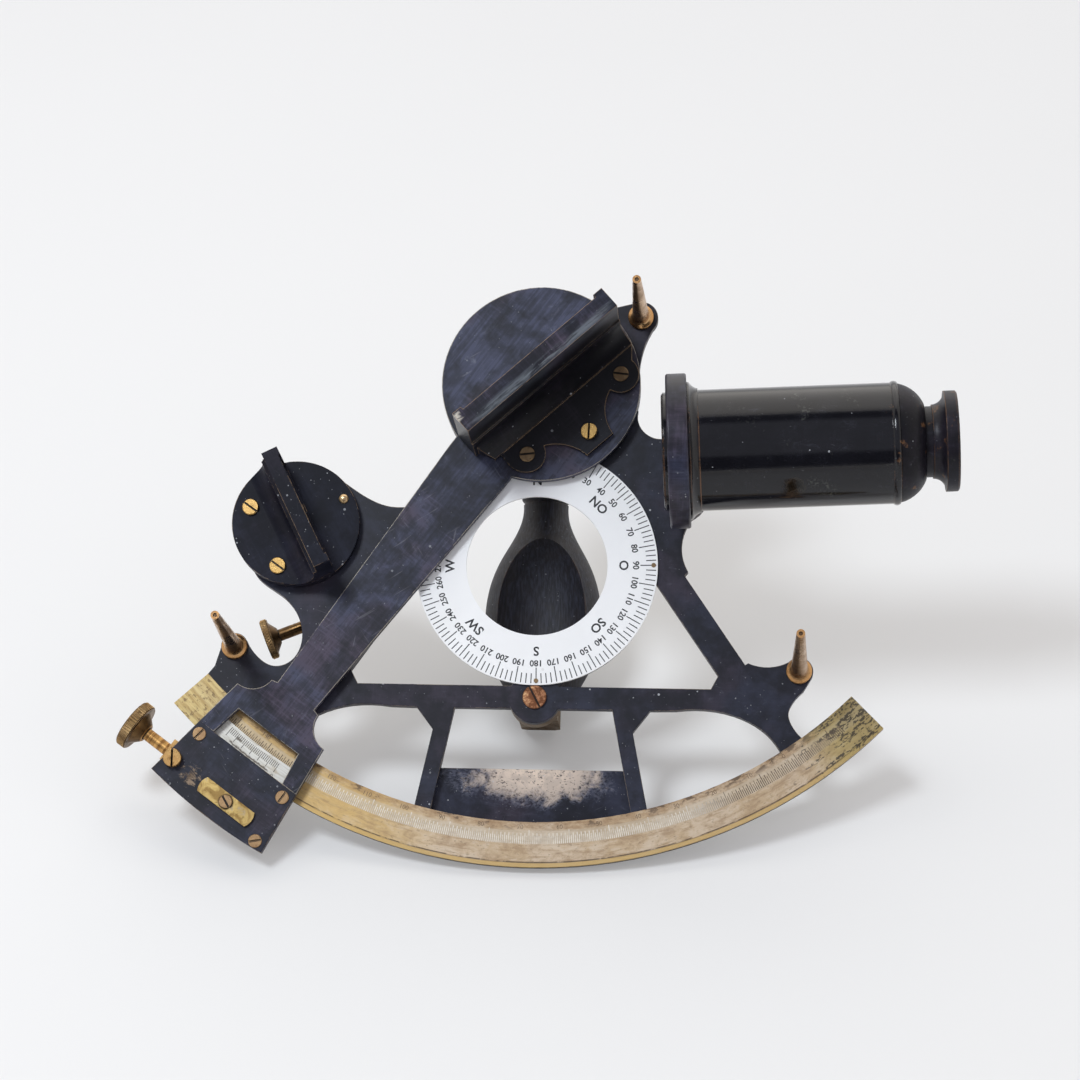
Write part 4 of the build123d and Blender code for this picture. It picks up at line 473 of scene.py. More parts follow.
def brass_finish(name, colour, dark, gloss, spots, edge=None, extra=None):
    """Handled brass: uneven tone, dark spots, painted shade and dirt in slots and corners, brighter edges."""
    c = Coat(name)
    tone = c.group(uneven_tone, scale=110.0)
    lines = c.group(hair_scratches, density=0.5)
    cloud = tone["Cloud"].rise(0.35, 0.68)
    c.colour = c.blend(cloud * 0.7, colour, dark)
    stain = tone["Mottle"].rise(0.60 - 0.1 * spots, 0.72)
    c.lay(stain * spots, shaded(dark, 0.35))
    c.lay(lines["Strokes"] * 0.4, shaded(colour, 1.3))
    if extra:
        extra(c)
    if edge:
        c.lay(c.group(rubbed_edges, width=0.3 * MM, patches=160.0, amount=0.8)["Mask"], edge)
    # Slots, knurls and corners darkened by ambient occlusion: painted shade, with some dirt.
    shade_and_grime = c.group(crevice_grime)["Mask"]
    c.lay(shade_and_grime * 0.95, shaded(dark, 0.05))
    rough = c.math("ADD", gloss + (cloud * 0.16 + shade_and_grime * 0.3), stain * 0.2, clamp=True)
    height = tone["Fine"] * 0.6 + lines["Grain"] * 0.4
    return c.done(rough, height, 0.04 * MM, {"Metallic": 1.0 - shade_and_grime * 0.9})


def limb_finish(patina):
    """The limb: pinkish patina, golden near its ends, stained inside, streaked at the right."""
    c = Coat("limb_patina")
    radius, swing = c.polar()
    joined = c.join(swing * UNROLLED, radius)
    tone = c.group(uneven_tone, place=joined, scale=45.0)
    grain = c.noise(joined, (90, 800, 1), 5, 0.65)
    pits = c.noise(joined, (600, 1000, 1), 3, 0.6)
    blotch = c.noise(joined, (150, 330, 1), 6, 0.72)
    patches = c.noise(joined, (170, 260, 1), 6, 0.72, 0.4)
    left = swing.fall(radians(-24), radians(-8))
    right = swing.rise(radians(35), radians(41))
    c.colour = c.blend(tone["Cloud"].rise(0.40, 0.60), patina, (0.60, 0.47, 0.33))
    c.lay(c.most(left, right) * 0.85, (0.54, 0.38, 0.16))
    c.lay(patches.rise(0.46, 0.64) * 0.55, (0.33, 0.215, 0.12))
    c.lay(patches.fall(0.36, 0.50) * 0.45, (0.66, 0.56, 0.44))
    c.lay(grain.rise(0.50, 0.64) * 0.5, (0.32, 0.20, 0.10))
    c.lay(pits.rise(0.58, 0.68) * 0.45, (0.20, 0.13, 0.075))
    c.lay(left * grain.rise(0.35, 0.60, 0.75, 0.25), (0.60, 0.40, 0.15))
    # The band of the divisions is paler, and the strip inside it brown and blotched.
    c.lay(radius.within(171.7 * MM, 176.8 * MM, 0.3 * MM) * 0.4, (0.60, 0.53, 0.42))
    inner = radius.fall(169.0 * MM, 172.6 * MM)
    c.lay(inner * blotch.rise(0.34, 0.56) * 0.65, (0.32, 0.19, 0.09))
    dirty = blotch + swing.rise(radians(5), radians(40)) * 0.07
    c.lay(inner * dirty.rise(0.54, 0.61) * 0.8, (0.09, 0.06, 0.04))
    # A dark groove, and a brighter rim outside it.
    groove = radius.within(183.45 * MM, 183.85 * MM, 0.12 * MM) * tone["Mottle"].rise(0.36, 0.50)
    c.lay(groove * 0.85, (0.09, 0.06, 0.03))
    c.lay(radius.rise(183.9 * MM, 184.1 * MM) * 0.85, (0.56, 0.38, 0.14))
    # The left end is olive and pitted, with a short dark mark.
    far_left = swing.fall(radians(-44), radians(-43))
    c.lay(far_left * 0.8, c.blend(grain.rise(0.4, 0.6), (0.58, 0.46, 0.21), (0.40, 0.28, 0.11)))
    left_pits = c.noise(joined, (420, 560, 1), 4, 0.65).rise(0.54, 0.61)
    c.lay(far_left * left_pits * 0.7, (0.16, 0.10, 0.05))
    mark = radius.within(167.6 * MM, 168.2 * MM, 0.1 * MM)
    c.lay(mark * swing.within(radians(-47.2), radians(-44.2), 0.003), (0.02, 0.018, 0.015))
    # The right end is greenish, with black streaks.
    c.lay(right * 0.6, (0.40, 0.32, 0.13))
    grainy = c.noise(joined, (70, 400, 1), 6, 0.75, 0.3) + (pits - 0.5) * 0.6
    streaks = (grainy + right * 0.10).rise(0.60, 0.65)
    c.lay(swing.rise(radians(30), radians(38)) * streaks * 0.88, (0.06, 0.05, 0.04))
    side = c.parts(c.take("ShaderNodeNewGeometry", output="Normal"))[2].fall(0.5, 0.8)
    c.lay(side, c.blend(grain.rise(0.45, 0.7), (0.50, 0.34, 0.12), (0.22, 0.14, 0.06)))
    metal = 0.20 + c.most(side, right, left) * 0.35
    return c.done(0.38 + grain * 0.18, grain + pits * 0.6, 0.05 * MM, {"Metallic": metal})


def division_finish():
    """Filling of the limb's divisions: pale in the middle, dark near both ends."""
    c = Coat("limb_division_fill")
    _, swing = c.polar()
    ends = c.most(swing.fall(radians(-31), radians(-29)), swing.rise(radians(18), radians(27)))
    faded = c.noise(c.place, 260, 4, 0.65).rise(0.44, 0.60)
    pale = c.blend(faded * 0.6, (0.78, 0.74, 0.66), (0.46, 0.38, 0.28))
    c.colour = c.blend(ends, pale, c.blend(faded, (0.10, 0.065, 0.04), (0.26, 0.19, 0.12)))
    return c.done(0.45 + faded * 0.25, faded, 0.005 * MM)


def vernier_finish():
    """Silvered vernier with a thin dark stain under its divisions."""
    c = Coat("vernier_silver")
    radius, swing = c.polar()
    joined = c.join(swing * UNROLLED, radius)
    grain = c.noise(joined, (120, 1500, 1), 3, 0.6)
    tone = c.group(uneven_tone, place=joined, scale=120.0)
    c.colour = c.blend(grain.rise(0.4, 0.7), (0.72, 0.70, 0.64), (0.55, 0.52, 0.45))
    c.lay(tone["Cloud"].rise(0.52, 0.66) * 0.5, (0.42, 0.33, 0.20))
    ragged = radius + (tone["Mottle"] - 0.5) * (1.6 * MM)
    stain = ragged.within(180.6 * MM, 181.3 * MM, 0.2 * MM)
    stain = stain * swing.within(radians(-39.3), radians(-33.4), 0.004)
    blot = ragged.within(177.6 * MM, 178.6 * MM, 0.4 * MM)
    blot = blot * swing.within(radians(-38.9), radians(-38.1), 0.003)
    c.lay(c.most(stain, blot) * 0.85, (0.08, 0.055, 0.035))
    return c.done(0.34 + grain * 0.15, grain, 0.02 * MM, {"Metallic": 0.35})


def plaque_cloud(c):
    """The plate's lacquer, worn through to pinkish metal in the middle of its upper half."""
    x, y, _ = c.parts(c.place)
    ragged = c.noise(c.place, 130, 6, 0.7, 0.5)
    fine = c.noise(c.mapped(c.place, (900, 1400, 900), 0.6), 1, 3, 0.6)
    across = c.math("DIVIDE", x - 1.0 * MM, 29.0 * MM)
    down = c.math("DIVIDE", -148.0 * MM - y, 13.5 * MM)
    cover = 1.0 + (ragged - 0.5) * 3.2 - (across * across + down * down)
    c.lay(cover.rise(-0.5, 0.3) * fine.rise(0.40, 0.56) * 0.5, (0.17, 0.18, 0.24))
    bare = c.blend(ragged.rise(0.40, 0.60), (0.80, 0.66, 0.54), (0.54, 0.45, 0.38))
    c.lay(cover.rise(0.0, 0.9) * fine.rise(0.30, 0.44), bare)


def cover_patch(c):
    """A tan rubbed patch of the cover plate, beside the tab."""
    ragged = c.noise(c.mapped(c.place, turn=-ARM_SWING), (230, 420, 230), 6, 0.75, 0.5)
    worn = c.away(c.place, (-128.6, -153.9, 5.0), ragged, 16).fall(1.4 * MM, 3.6 * MM)
    c.lay(worn * 0.9, c.blend(ragged.rise(0.42, 0.58), (0.32, 0.23, 0.15), (0.14, 0.09, 0.05)))


def rail_smear(c):
    """Mirror rail: painted grey-blue sheen in front, black below, painted highlights on top edge and left corner.
    """
    turned = c.mapped(c.place, turn=-MIRROR_TURN)
    along, across, height = c.parts(turned)
    grain = c.noise(turned, (50, 900, 900), 4, 0.65)
    cloud = c.noise(turned, (60, 170, 170), 6, 0.7, 0.5)
    c.lay(height.fall(30 * MM, 40 * MM) * 0.8, (0.005, 0.005, 0.006))
    # A painted grey-blue sheen along the front of the rail.
    front = height.rise(34 * MM, 40 * MM) * across.within(-4.6 * MM, -2.0 * MM, 1.6 * MM)
    front = front * along.within(-31 * MM, 33 * MM, 6 * MM)
    c.lay(front * (grain * 0.5 + cloud * 0.5).rise(0.42, 0.58) * 0.9, (0.15, 0.17, 0.19))
    rubbed = height.rise(44 * MM, 45 * MM) * grain.rise(0.50, 0.66) * cloud.rise(0.46, 0.6)
    c.lay(rubbed * 0.5, (0.12, 0.13, 0.17))
    # A painted highlight: a pale line along the rail's top edge.
    lip = across.rise(4.4 * MM, 4.6 * MM) * height.rise(44.4 * MM, 44.7 * MM) * grain.rise(0.40, 0.52)
    c.lay(lip * 0.9, (0.55, 0.49, 0.38))
    # A painted highlight: a pale patch on the rail's left corner.
    corner = c.away(turned, (-37.2, 2.6, 43.4), cloud, 14).fall(0.8 * MM, 2.0 * MM)
    c.lay(corner * 0.9, (0.62, 0.58, 0.50))


def scope_marks(c):
    """Brown rubbed spots near the eye end, greenish specks and a small dark mark on the barrel."""
    ragged = c.noise(c.place, 150, 5, 0.65)
    rear = c.parts(c.place)[0].rise(125 * MM, 135 * MM)
    c.lay(rear * ragged.rise(0.60, 0.68) * 0.8, (0.15, 0.075, 0.035))
    smudge = c.noise(c.place, 70, 6, 0.7, 0.4).rise(0.56, 0.70)
    c.lay(smudge * c.noise(c.place, 900, 2, 0.5).rise(0.5, 0.6) * 0.5, (0.09, 0.095, 0.085))
    near = c.away(c.place, (97.2, -48.0, 44.2), c.noise(c.place, 420, 4, 0.6, 0.4), 12)
    c.lay(near.fall(3.0 * MM, 4.2 * MM) * 0.8, (0.022, 0.018, 0.014))
    c.lay(near.fall(1.6 * MM, 3.0 * MM), (0.0, 0.0, 0.0))


def leg_ends(c):
    """Copper flange and tip of a leg."""
    z = c.parts(c.place)[2]
    c.lay(c.most(z.fall(1.8 * MM, 3.0 * MM), z.rise(59.5 * MM, 60.5 * MM)) * 0.8, (0.56, 0.30, 0.12))


def tangent_shaft(c):
    """The tangent screw: its shaft is a brighter orange brass than its head."""
    axis = Vector((cos(ARM_SWING), sin(ARM_SWING), 0))
    along = c.vector_math("DOT_PRODUCT", c.place, axis, output="Value")
    rings = c.noise(c.join(along), 700, 3, 0.6).rise(0.42, 0.58)
    c.lay(along.rise(-38.5 * MM, -38.0 * MM) * 0.85, c.blend(rings, (0.30, 0.15, 0.05), (0.74, 0.43, 0.15)))


def screw_blots(c):
    """Dark blots and bright flecks of the big copper-coloured screw."""
    blots = c.noise(c.place, 330, 5, 0.7, 0.4)
    c.lay(blots.rise(0.47, 0.58) * 0.85, (0.13, 0.05, 0.025))
    c.lay(blots.fall(0.38, 0.46) * 0.7, (0.80, 0.52, 0.26))


def tab_stain(c):
    """Brown and grey stain of the brass tab."""
    ragged = c.noise(c.place, 190, 4, 0.6, 0.8)
    c.lay(ragged.rise(0.44, 0.60) * 0.8, (0.22, 0.13, 0.045))
    c.lay(ragged.fall(0.34, 0.42) * 0.5, (0.34, 0.29, 0.22))


def wood_finish():
    """Ebonised wood: open grain along the grip, brown where it is rubbed."""
    c = Coat("ebonised_grip")
    grain = c.noise(c.place, (1500, 160, 900), 4, 0.65, 0.2)
    tone = c.group(uneven_tone, scale=60.0)
    c.colour = c.blend(grain.rise(0.40, 0.66), (0.011, 0.011, 0.016), (0.034, 0.036, 0.054))
    c.lay(tone["Cloud"].rise(0.42, 0.60) * 0.4, (0.030, 0.024, 0.024))
    c.lay(c.group(dust_specks, cells=600.0, amount=0.4)["Mask"] * 0.5, (0.30, 0.30, 0.32))
    edges = c.group(rubbed_edges, width=1.6 * MM, patches=80.0, amount=0.6)["Mask"]
    c.lay(edges * 0.7, (0.10, 0.055, 0.032))
    return c.done(0.50 + tone["Mottle"] * 0.2, grain, 0.12 * MM)


def card_finish():
    """The white compass ring: smooth plastic, slightly yellowed and dusty."""
    c = Coat("ring_white")
    tone = c.group(uneven_tone, scale=30.0)
    c.colour = c.blend(tone["Cloud"].rise(0.35, 0.7), (0.97, 0.97, 0.97), (0.93, 0.93, 0.925))
    c.lay(c.group(dust_specks, cells=300.0, amount=0.04)["Mask"] * 0.35, (0.35, 0.33, 0.30))
    return c.done(0.38 + tone["Mottle"] * 0.16, tone["Fine"], 0.01 * MM)


def ink_finish(name, colour, worn, share):
    """Filling of engraved or printed marks, thinner here and there."""
    c = Coat(name)
    faded = c.noise(c.place, 420, 4, 0.65).rise(0.5, 0.66)
    c.colour = c.blend(faded * share, colour, worn)
    return c.done(0.45 + faded * 0.25, faded, 0.005 * MM)


def mirror_finish():
    """Silvered glass, slightly clouded at its rim."""
    c = Coat("silvered_glass")
    cloud = c.group(uneven_tone, scale=90.0)["Cloud"]
    c.colour = c.blend(cloud.rise(0.5, 0.7), (0.80, 0.83, 0.83), (0.62, 0.65, 0.64))
    return c.done(cloud.rise(0.55, 0.75, 0.02, 0.14), others={"Metallic": 1.0})


def lens_finish():
    """Clear optical glass with a few specks of dust."""
    c = Coat("lens_glass")
    specks = c.group(dust_specks, cells=420.0, amount=0.4)["Mask"]
    c.colour = c.blend(specks * 0.4, (0.93, 0.96, 0.95), (0.6, 0.6, 0.6))
    return c.done(0.01 + specks * 0.4, others={"Transmission Weight": 1.0, "IOR": 1.5})


# ------------------------------------------------------------------ meshes
def linked(name, data):
    """A new object in the scene."""
    made = bpy.data.objects.new(name, data)
    bpy.context.scene.collection.objects.link(made)
    return made


def plain_mesh(holder):
    """The mesh that an object's text or modifier makes."""
    bpy.context.view_layer.update()
    return bpy.data.meshes.new_from_object(holder.evaluated_get(bpy.context.evaluated_depsgraph_get()))


def standing(place, axis):
    """A matrix that turns Z along an axis and moves to a place."""
    return Matrix.Translation(place) @ axis.to_track_quat("Z", "Y").to_matrix().to_4x4()


def settle(name, mesh, material, body):
    """Makes a piece of a mesh, gives it its material, and lets it ride."""
    piece = linked(name, mesh)
    mesh.materials.clear()
    mesh.materials.append(material)
    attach(piece, body)
    return piece


def word_mesh(words, height, relief, weight):
    """Words as a flat solid, centred, with capitals this high and strokes thickened by weight."""
    curve = bpy.data.curves.new("words", "FONT")
    curve.body = words
    curve.align_x = "CENTER"
    curve.align_y = "CENTER"
    curve.size = height / CAPITALS
    curve.offset = weight * height
    curve.extrude = relief / 2
    curve.resolution_u = 3
    holder = linked("words", curve)
    mesh = plain_mesh(holder)
    bpy.data.objects.remove(holder)
    bpy.data.curves.remove(curve)
    return mesh


def lettering(name, entries, height, relief, material, body, weight=0.0):
    """One piece of many words, each given as words, place of its middle and turn about Z."""
    whole = bmesh.new()
    for words, middle, turn in entries:
        mesh = word_mesh(words, height, relief, weight)
        mesh.transform(Matrix.Translation(middle) @ Matrix.Rotation(turn, 4, "Z"))
        whole.from_mesh(mesh)
        bpy.data.meshes.remove(mesh)
    bmesh.ops.remove_doubles(whole, verts=whole.verts, dist=0.002 * MM)
    bmesh.ops.recalc_face_normals(whole, faces=whole.faces)
    data = bpy.data.meshes.new(name)
    whole.to_mesh(data)
    whole.free()
    return settle(name, data, material, body)


def on_face(swing, radius, height):
    """A place on the instrument's face, at this swing."""
    place = Vector((sin(swing), -cos(swing), 0)) * radius
    place.z = height
    return place


def around(w, source, lean=0.0):
    """Points on a circle, one for each step: the points, their turns and their numbers."""
    index = w.take("GeometryNodeInputIndex")
    angle = source["First"] + index * source["Step"]
    radius = source["Radius"]
    spot = w.join(radius * w.math("COSINE", angle), radius * w.math("SINE", angle))
    points = w.take("GeometryNodePoints", {"Count": source["Count"], "Position": spot})
    return points, w.join(lean, 0.0, angle), index


def copied(w, points, shape, shift, facing, size, material):
    """The shape, shifted, on every point, realised, with its material."""
    shape = w.take("GeometryNodeTransform", {"Geometry": shape, "Translation": shift})
    copies = w.take("GeometryNodeInstanceOnPoints", {
        "Points": points, "Instance": shape, "Rotation": facing, "Scale": size})
    real = w.take("GeometryNodeRealizeInstances", {0: copies})
    return w.take("GeometryNodeSetMaterial", {"Geometry": real, "Material": material})


def divisions_tree(material):
    """Divisions on an arc: short ones, middle ones and long ones, running inwards or outwards."""
    w, source, sink = node_group("scale_divisions", {
        "Count": 10, "First": 0.0, "Step": 0.1, "Radius": 0.1, "Short": 3.0 * MM, "Middle": 4.0 * MM,
        "Long": 5.0 * MM, "Middle every": 2, "Long every": 10, "Long phase": 0, "Line": 0.3 * MM,
        "Relief": 0.03 * MM}, ("Geometry",), "GeometryNodeTree")
    points, facing, index = around(w, source)
    counted = index + source["Long phase"]
    length = source["Short"]
    for rank in ("Middle", "Long"):
        chosen = w.math("LESS_THAN", w.math("MODULO", counted, source[rank + " every"]), 0.5)
        length = w.take("GeometryNodeSwitch", {
            "Switch": chosen, "False": length, "True": source[rank]}, input_type="FLOAT")
    size = w.join(length, source["Line"], source["Relief"])
    block = w.take("GeometryNodeMeshCube", {"Size": (1, 1, 1)})
    w.feed(sink["Geometry"], copied(w, points, block, (-0.5, 0, 0.5), facing, size, material))
    return w.tree


def ribs_tree(material):
    """Ribs round a knob's rim, along Z, each a bar set on its edge and leaning by Slant."""
    w, source, sink = node_group("milled_ribs", {
        "Count": 40, "First": 0.0, "Step": 0.1, "Radius": 10.0 * MM, "Width": 4.0 * MM, "Depth": 0.4 * MM,
        "Slant": 0.0}, ("Geometry",), "GeometryNodeTree")
    points, facing, _ = around(w, source, source["Slant"])
    size = w.join(source["Depth"], source["Depth"] * 1.9, source["Width"])
    bar = w.take("GeometryNodeMeshCylinder", {"Vertices": 4, "Radius": 1.0, "Depth": 1.0})
    w.feed(sink["Geometry"], copied(w, points, bar, (-1.0, 0, 0), facing, size, material))
    return w.tree


def grown(name, tree, place, material, body, slot_name, **values):
    """Runs a geometry tree with these values, puts the mesh in its place and lets it ride."""
    host = linked(name + "_host", bpy.data.meshes.new(name + "_host"))
    modifier = host.modifiers.new("grow", "NODES")
    modifier.node_group = tree
    sockets = {item.name: item.identifier for item in tree.interface.items_tree
               if item.item_type == "SOCKET" and item.in_out == "INPUT"}
    for key, value in values.items():
        modifier[sockets[key.replace("_", " ").capitalize()]] = value
    host.update_tag()
    mesh = plain_mesh(host)
    host.modifiers.remove(modifier)
    bpy.data.objects.remove(host)
    if not mesh.polygons:
        raise RuntimeError(name + " came out empty")
    mesh.transform(place)
    mesh.name = name
    return settle(name, mesh, material, body)


# ------------------------------------------------------------------ operators
class FinishesOperator(bpy.types.Operator):
    """Gives every solid of the instrument its worn finish"""

    bl_idname = "sextant.finishes"
    bl_label = "Worn Finishes"

    def execute(self, context):
        looks = self.looks(context.scene.sextant_finishes)
        slots = {part["node"]: part["material_slot"] for part in frame["record"]["subparts"]}
        for name, node in NODES.items():
            node.data.materials.clear()
            node.data.materials.append(looks.get(name) or looks[slots[name]])
        return {"FINISHED"}

    def looks(self, f):
        """The finish of each material slot, and of the nodes that differ from their slot."""
        scope, haze, bloom = tuple(f.scope), tuple(f.lacquer_haze), tuple(f.lacquer_bloom)
        black = (tuple(f.lacquer), haze, bloom)
        glossy = (scope, shaded(scope, 3.0), shaded(scope, 3.4))
        jet = (scope, shaded(haze, 0.5), shaded(bloom, 0.5))
        tan, cream, brown = (0.42, 0.29, 0.18), (0.66, 0.60, 0.50), (0.20, 0.11, 0.06)
        knob, knob_dark, knob_edge = (0.19, 0.11, 0.045), (0.08, 0.045, 0.022), (0.46, 0.29, 0.13)

        def lacquer(name, colours=black, **traits):
            return lacquer_finish(name, colours, **({"dust": f.dust, "wear": f.wear} | traits))

        looks = {
            "black_lacquer": lacquer("frame_lacquer", haze=0.6, brush=0.1, dust=1.6 * f.dust, cover=0.45),
            "index_arm": lacquer(
                "arm_lacquer", along=ARM_SWING + pi / 2, haze=1.7, scratch=1.0, brush=0.45, edge=cream,
                edge_width=0.6 * MM, cover=0.7),
            "index_cover_plate": lacquer(
                "cover_lacquer", along=ARM_SWING, haze=0.7, dust=1.6, edge=tan, cover=0.5,
                extra=cover_patch),
            "index_mirror_bracket": lacquer(
                "mirror_lacquer", gloss=0.36, along=MIRROR_TURN, haze=0.9, brush=0.5, edge=tan, cover=0.8,
                sheen=0.2, extra=rail_smear),
            "horizon_disc": lacquer(
                "horizon_lacquer", gloss=0.38, along=HORIZON_TURN, haze=0.3, dust=1.6 * f.dust, edge=tan,
                cover=0.45, sheen=0.12),
            "worn_plate": lacquer(
                "plaque_lacquer", gloss=0.30, haze=0.7, brush=0.1, dust=1.6, wear=0.4, extra=plaque_cloud),
            "telescope_collar": lacquer(
                "collar_lacquer", gloss=0.36, haze=0.8, wear=0.7 * f.wear, edge=(0.20, 0.14, 0.10)),
            "telescope_black": lacquer(
                "scope_lacquer", glossy, gloss=0.11, along=SCOPE_TURN, haze=0.4, scratch=0.4, dust=0.22,
                edge=(0.22, 0.11, 0.055), edge_width=0.6 * MM, sheen=0.36, extra=scope_marks),
            "eyepiece_housing": lacquer(
                "cap_lacquer", jet, haze=0.5, dust=0.6, edge=brown, edge_width=0.6 * MM, sheen=0.15,
                extra=scope_marks),
            "eyecup_black": lacquer(
                "eyecup_black", jet, gloss=0.38, haze=0.6, dust=0.5, edge=brown, edge_width=0.7 * MM,
                cover=0.6, sheen=0.2, extra=scope_marks),
            "limb_brass": limb_finish(tuple(f.patina)), "vernier_silver": vernier_finish(),
            "white_card": card_finish(), "ebonised_wood": wood_finish(),
            "mirror_glass": mirror_finish(), "lens_glass": lens_finish()}
        # Name, colour, dark colour, gloss, spots, edge colour, extra marks.
        metals = {
            "bright_brass": ("bright_brass", tuple(f.brass), (0.34, 0.21, 0.08), 0.24, 0.4),
            "brass_tab": ("tab_brass", (0.56, 0.40, 0.15), (0.34, 0.23, 0.09), 0.34, 0.5, None, tab_stain),
            "knurled_brass": ("knob_brass", knob, knob_dark, 0.32, 0.8, knob_edge),
            "tangent_screw": ("tangent_brass", knob, knob_dark, 0.30, 0.8, knob_edge, tangent_shaft),
            "leg_brass": ("leg_brass", (0.54, 0.34, 0.17), (0.27, 0.145, 0.06), 0.24, 0.5, None, leg_ends),
            "copper_screw": (
                "copper_brass", tuple(f.copper), (0.25, 0.11, 0.06), 0.28, 0.5, None, screw_blots),
            "cover_screws": ("cover_screw_brass", (0.42, 0.27, 0.14), (0.24, 0.14, 0.075), 0.28, 0.5),
            "tangent_bearing": ("warm_brass", (0.50, 0.31, 0.12), (0.30, 0.16, 0.06), 0.26, 0.5),
            "horizon_pin": ("pin_brass", (0.62, 0.44, 0.25), (0.40, 0.27, 0.14), 0.24, 0.3),
            "dull_brass": ("dull_brass", (0.26, 0.18, 0.10), (0.13, 0.085, 0.05), 0.38, 0.6)}
        looks |= {key: brass_finish(*traits) for key, traits in metals.items()}
        return looks | {
            "horizon_bracket": looks["horizon_disc"], "tangent_bearing_screw": looks["tangent_bearing"],
            "ring_pins": looks["dull_brass"], "limb_rivets": looks["dull_brass"]}


class LimbScaleOperator(bpy.types.Operator):
    """Divides and numbers the limb"""

    bl_idname = "sextant.limb_scale"
    bl_label = "Limb Scale"

    def execute(self, context):
        s = context.scene.sextant_scales
        pale = division_finish()
        brown = ink_finish("limb_number_fill", (0.15, 0.095, 0.05), (0.36, 0.26, 0.16), 0.85)
        # Divisions between the first one and the zero, on which a long one falls.
        before_zero = round((s.zero_swing - s.first_swing) / s.division)
        long_every = 20
        short, middle, long = s.lengths
        grown("limb_divisions", divisions_tree(pale), Matrix.Translation((0, 0, LIMB_TOP)), pale, "frame",
              "limb_brass", count=s.divisions, first=s.first_swing - pi / 2, step=s.division,
              radius=s.baseline, short=short, middle=middle, long=long, middle_every=2,
              long_every=long_every, long_phase=-before_zero % long_every, line=s.line, relief=s.relief)
        left_end, last_reading = radians(-41), 150
        entries = []
        for reading in range(0, last_reading + 1, 10):
            # A reading is twice the angle that the arm has swung.
            swing = s.zero_swing - radians(reading / 2) - s.number_shift
            if swing > left_end:
                spot = on_face(swing, s.number_radius, LIMB_TOP + s.relief / 2)
                entries.append((str(reading), spot, swing))
        lettering("limb_numbers", entries, s.number_height, s.relief, brown, "frame")
        return {"FINISHED"}


class VernierScaleOperator(bpy.types.Operator):
    """Divides the vernier and marks its zero"""

    bl_idname = "sextant.vernier_scale"
    bl_label = "Vernier Scale"

    def execute(self, context):
        s = context.scene.sextant_scales
        dark = ink_finish("vernier_fill", (0.07, 0.06, 0.05), (0.30, 0.26, 0.20), 0.4)
        # Lengths below zero run outwards.
        short, long, line = -2.3 * MM, -3.9 * MM, 0.24 * MM
        grown("vernier_divisions", divisions_tree(dark), Matrix.Translation((0, 0, VERNIER_TOP)), dark,
              "index_arm_body", "vernier_silver", count=31, first=s.vernier_first - pi / 2,
              step=s.vernier_division, radius=s.vernier_radius, short=short, middle=short, long=long,
              middle_every=5, long_every=5, long_phase=0, line=line, relief=s.relief)
        zero_swing, zero_radius, zero_height = radians(-32.7), 182.0 * MM, 1.7 * MM
        zero = on_face(zero_swing, zero_radius, VERNIER_TOP + s.relief / 2)
        lettering("vernier_zero", [("0", zero, zero_swing)], zero_height, s.relief, dark, "index_arm_body")
        return {"FINISHED"}


class RingMarksOperator(bpy.types.Operator):
    """Prints ticks, degrees and compass letters on the ring"""

    bl_idname = "sextant.ring_marks"
    bl_label = "Ring Marks"

    def execute(self, context):
        r = context.scene.sextant_ring
        relief = context.scene.sextant_scales.relief
        black = ink_finish("ring_print", (0.012, 0.012, 0.014), (0.10, 0.10, 0.10), 0.2)
        north = pi / 2 + r.skew
        ticks, weight = 144, 0.03
        short, middle, long = r.lengths
        grown("ring_ticks", divisions_tree(black),
              Matrix.Translation((RING_CENTRE.x, RING_CENTRE.y, RING_TOP)), black, "frame", "white_card",
              count=ticks, first=north, step=radians(360 / ticks), radius=r.tick_radius, short=short,
              middle=middle, long=long, middle_every=1, long_every=4, long_phase=0, line=r.line,
              relief=relief)

        def marked(name, words, step, radius, height):
            """Words all round the ring, clockwise from north, one at every step in degrees."""
            entries = []
            for i, word in enumerate(words):
                angle = north - radians(i * step)
                spot = RING_CENTRE + radius * Vector((cos(angle), sin(angle), 0))
                spot.z = RING_TOP + relief / 2
                entries.append((word, spot, angle - pi / 2))
            lettering(name, entries, height, relief, black, "frame", weight)

        marked("ring_degrees", ["360"] + [str(degree) for degree in range(10, 360, 10)], 10,
               r.numeral_radius, r.numeral_height)
        marked("ring_letters", ("N", "NO", "O", "SO", "S", "SW", "W", "NW"), 45, r.letter_radius,
               r.letter_height)
        return {"FINISHED"}


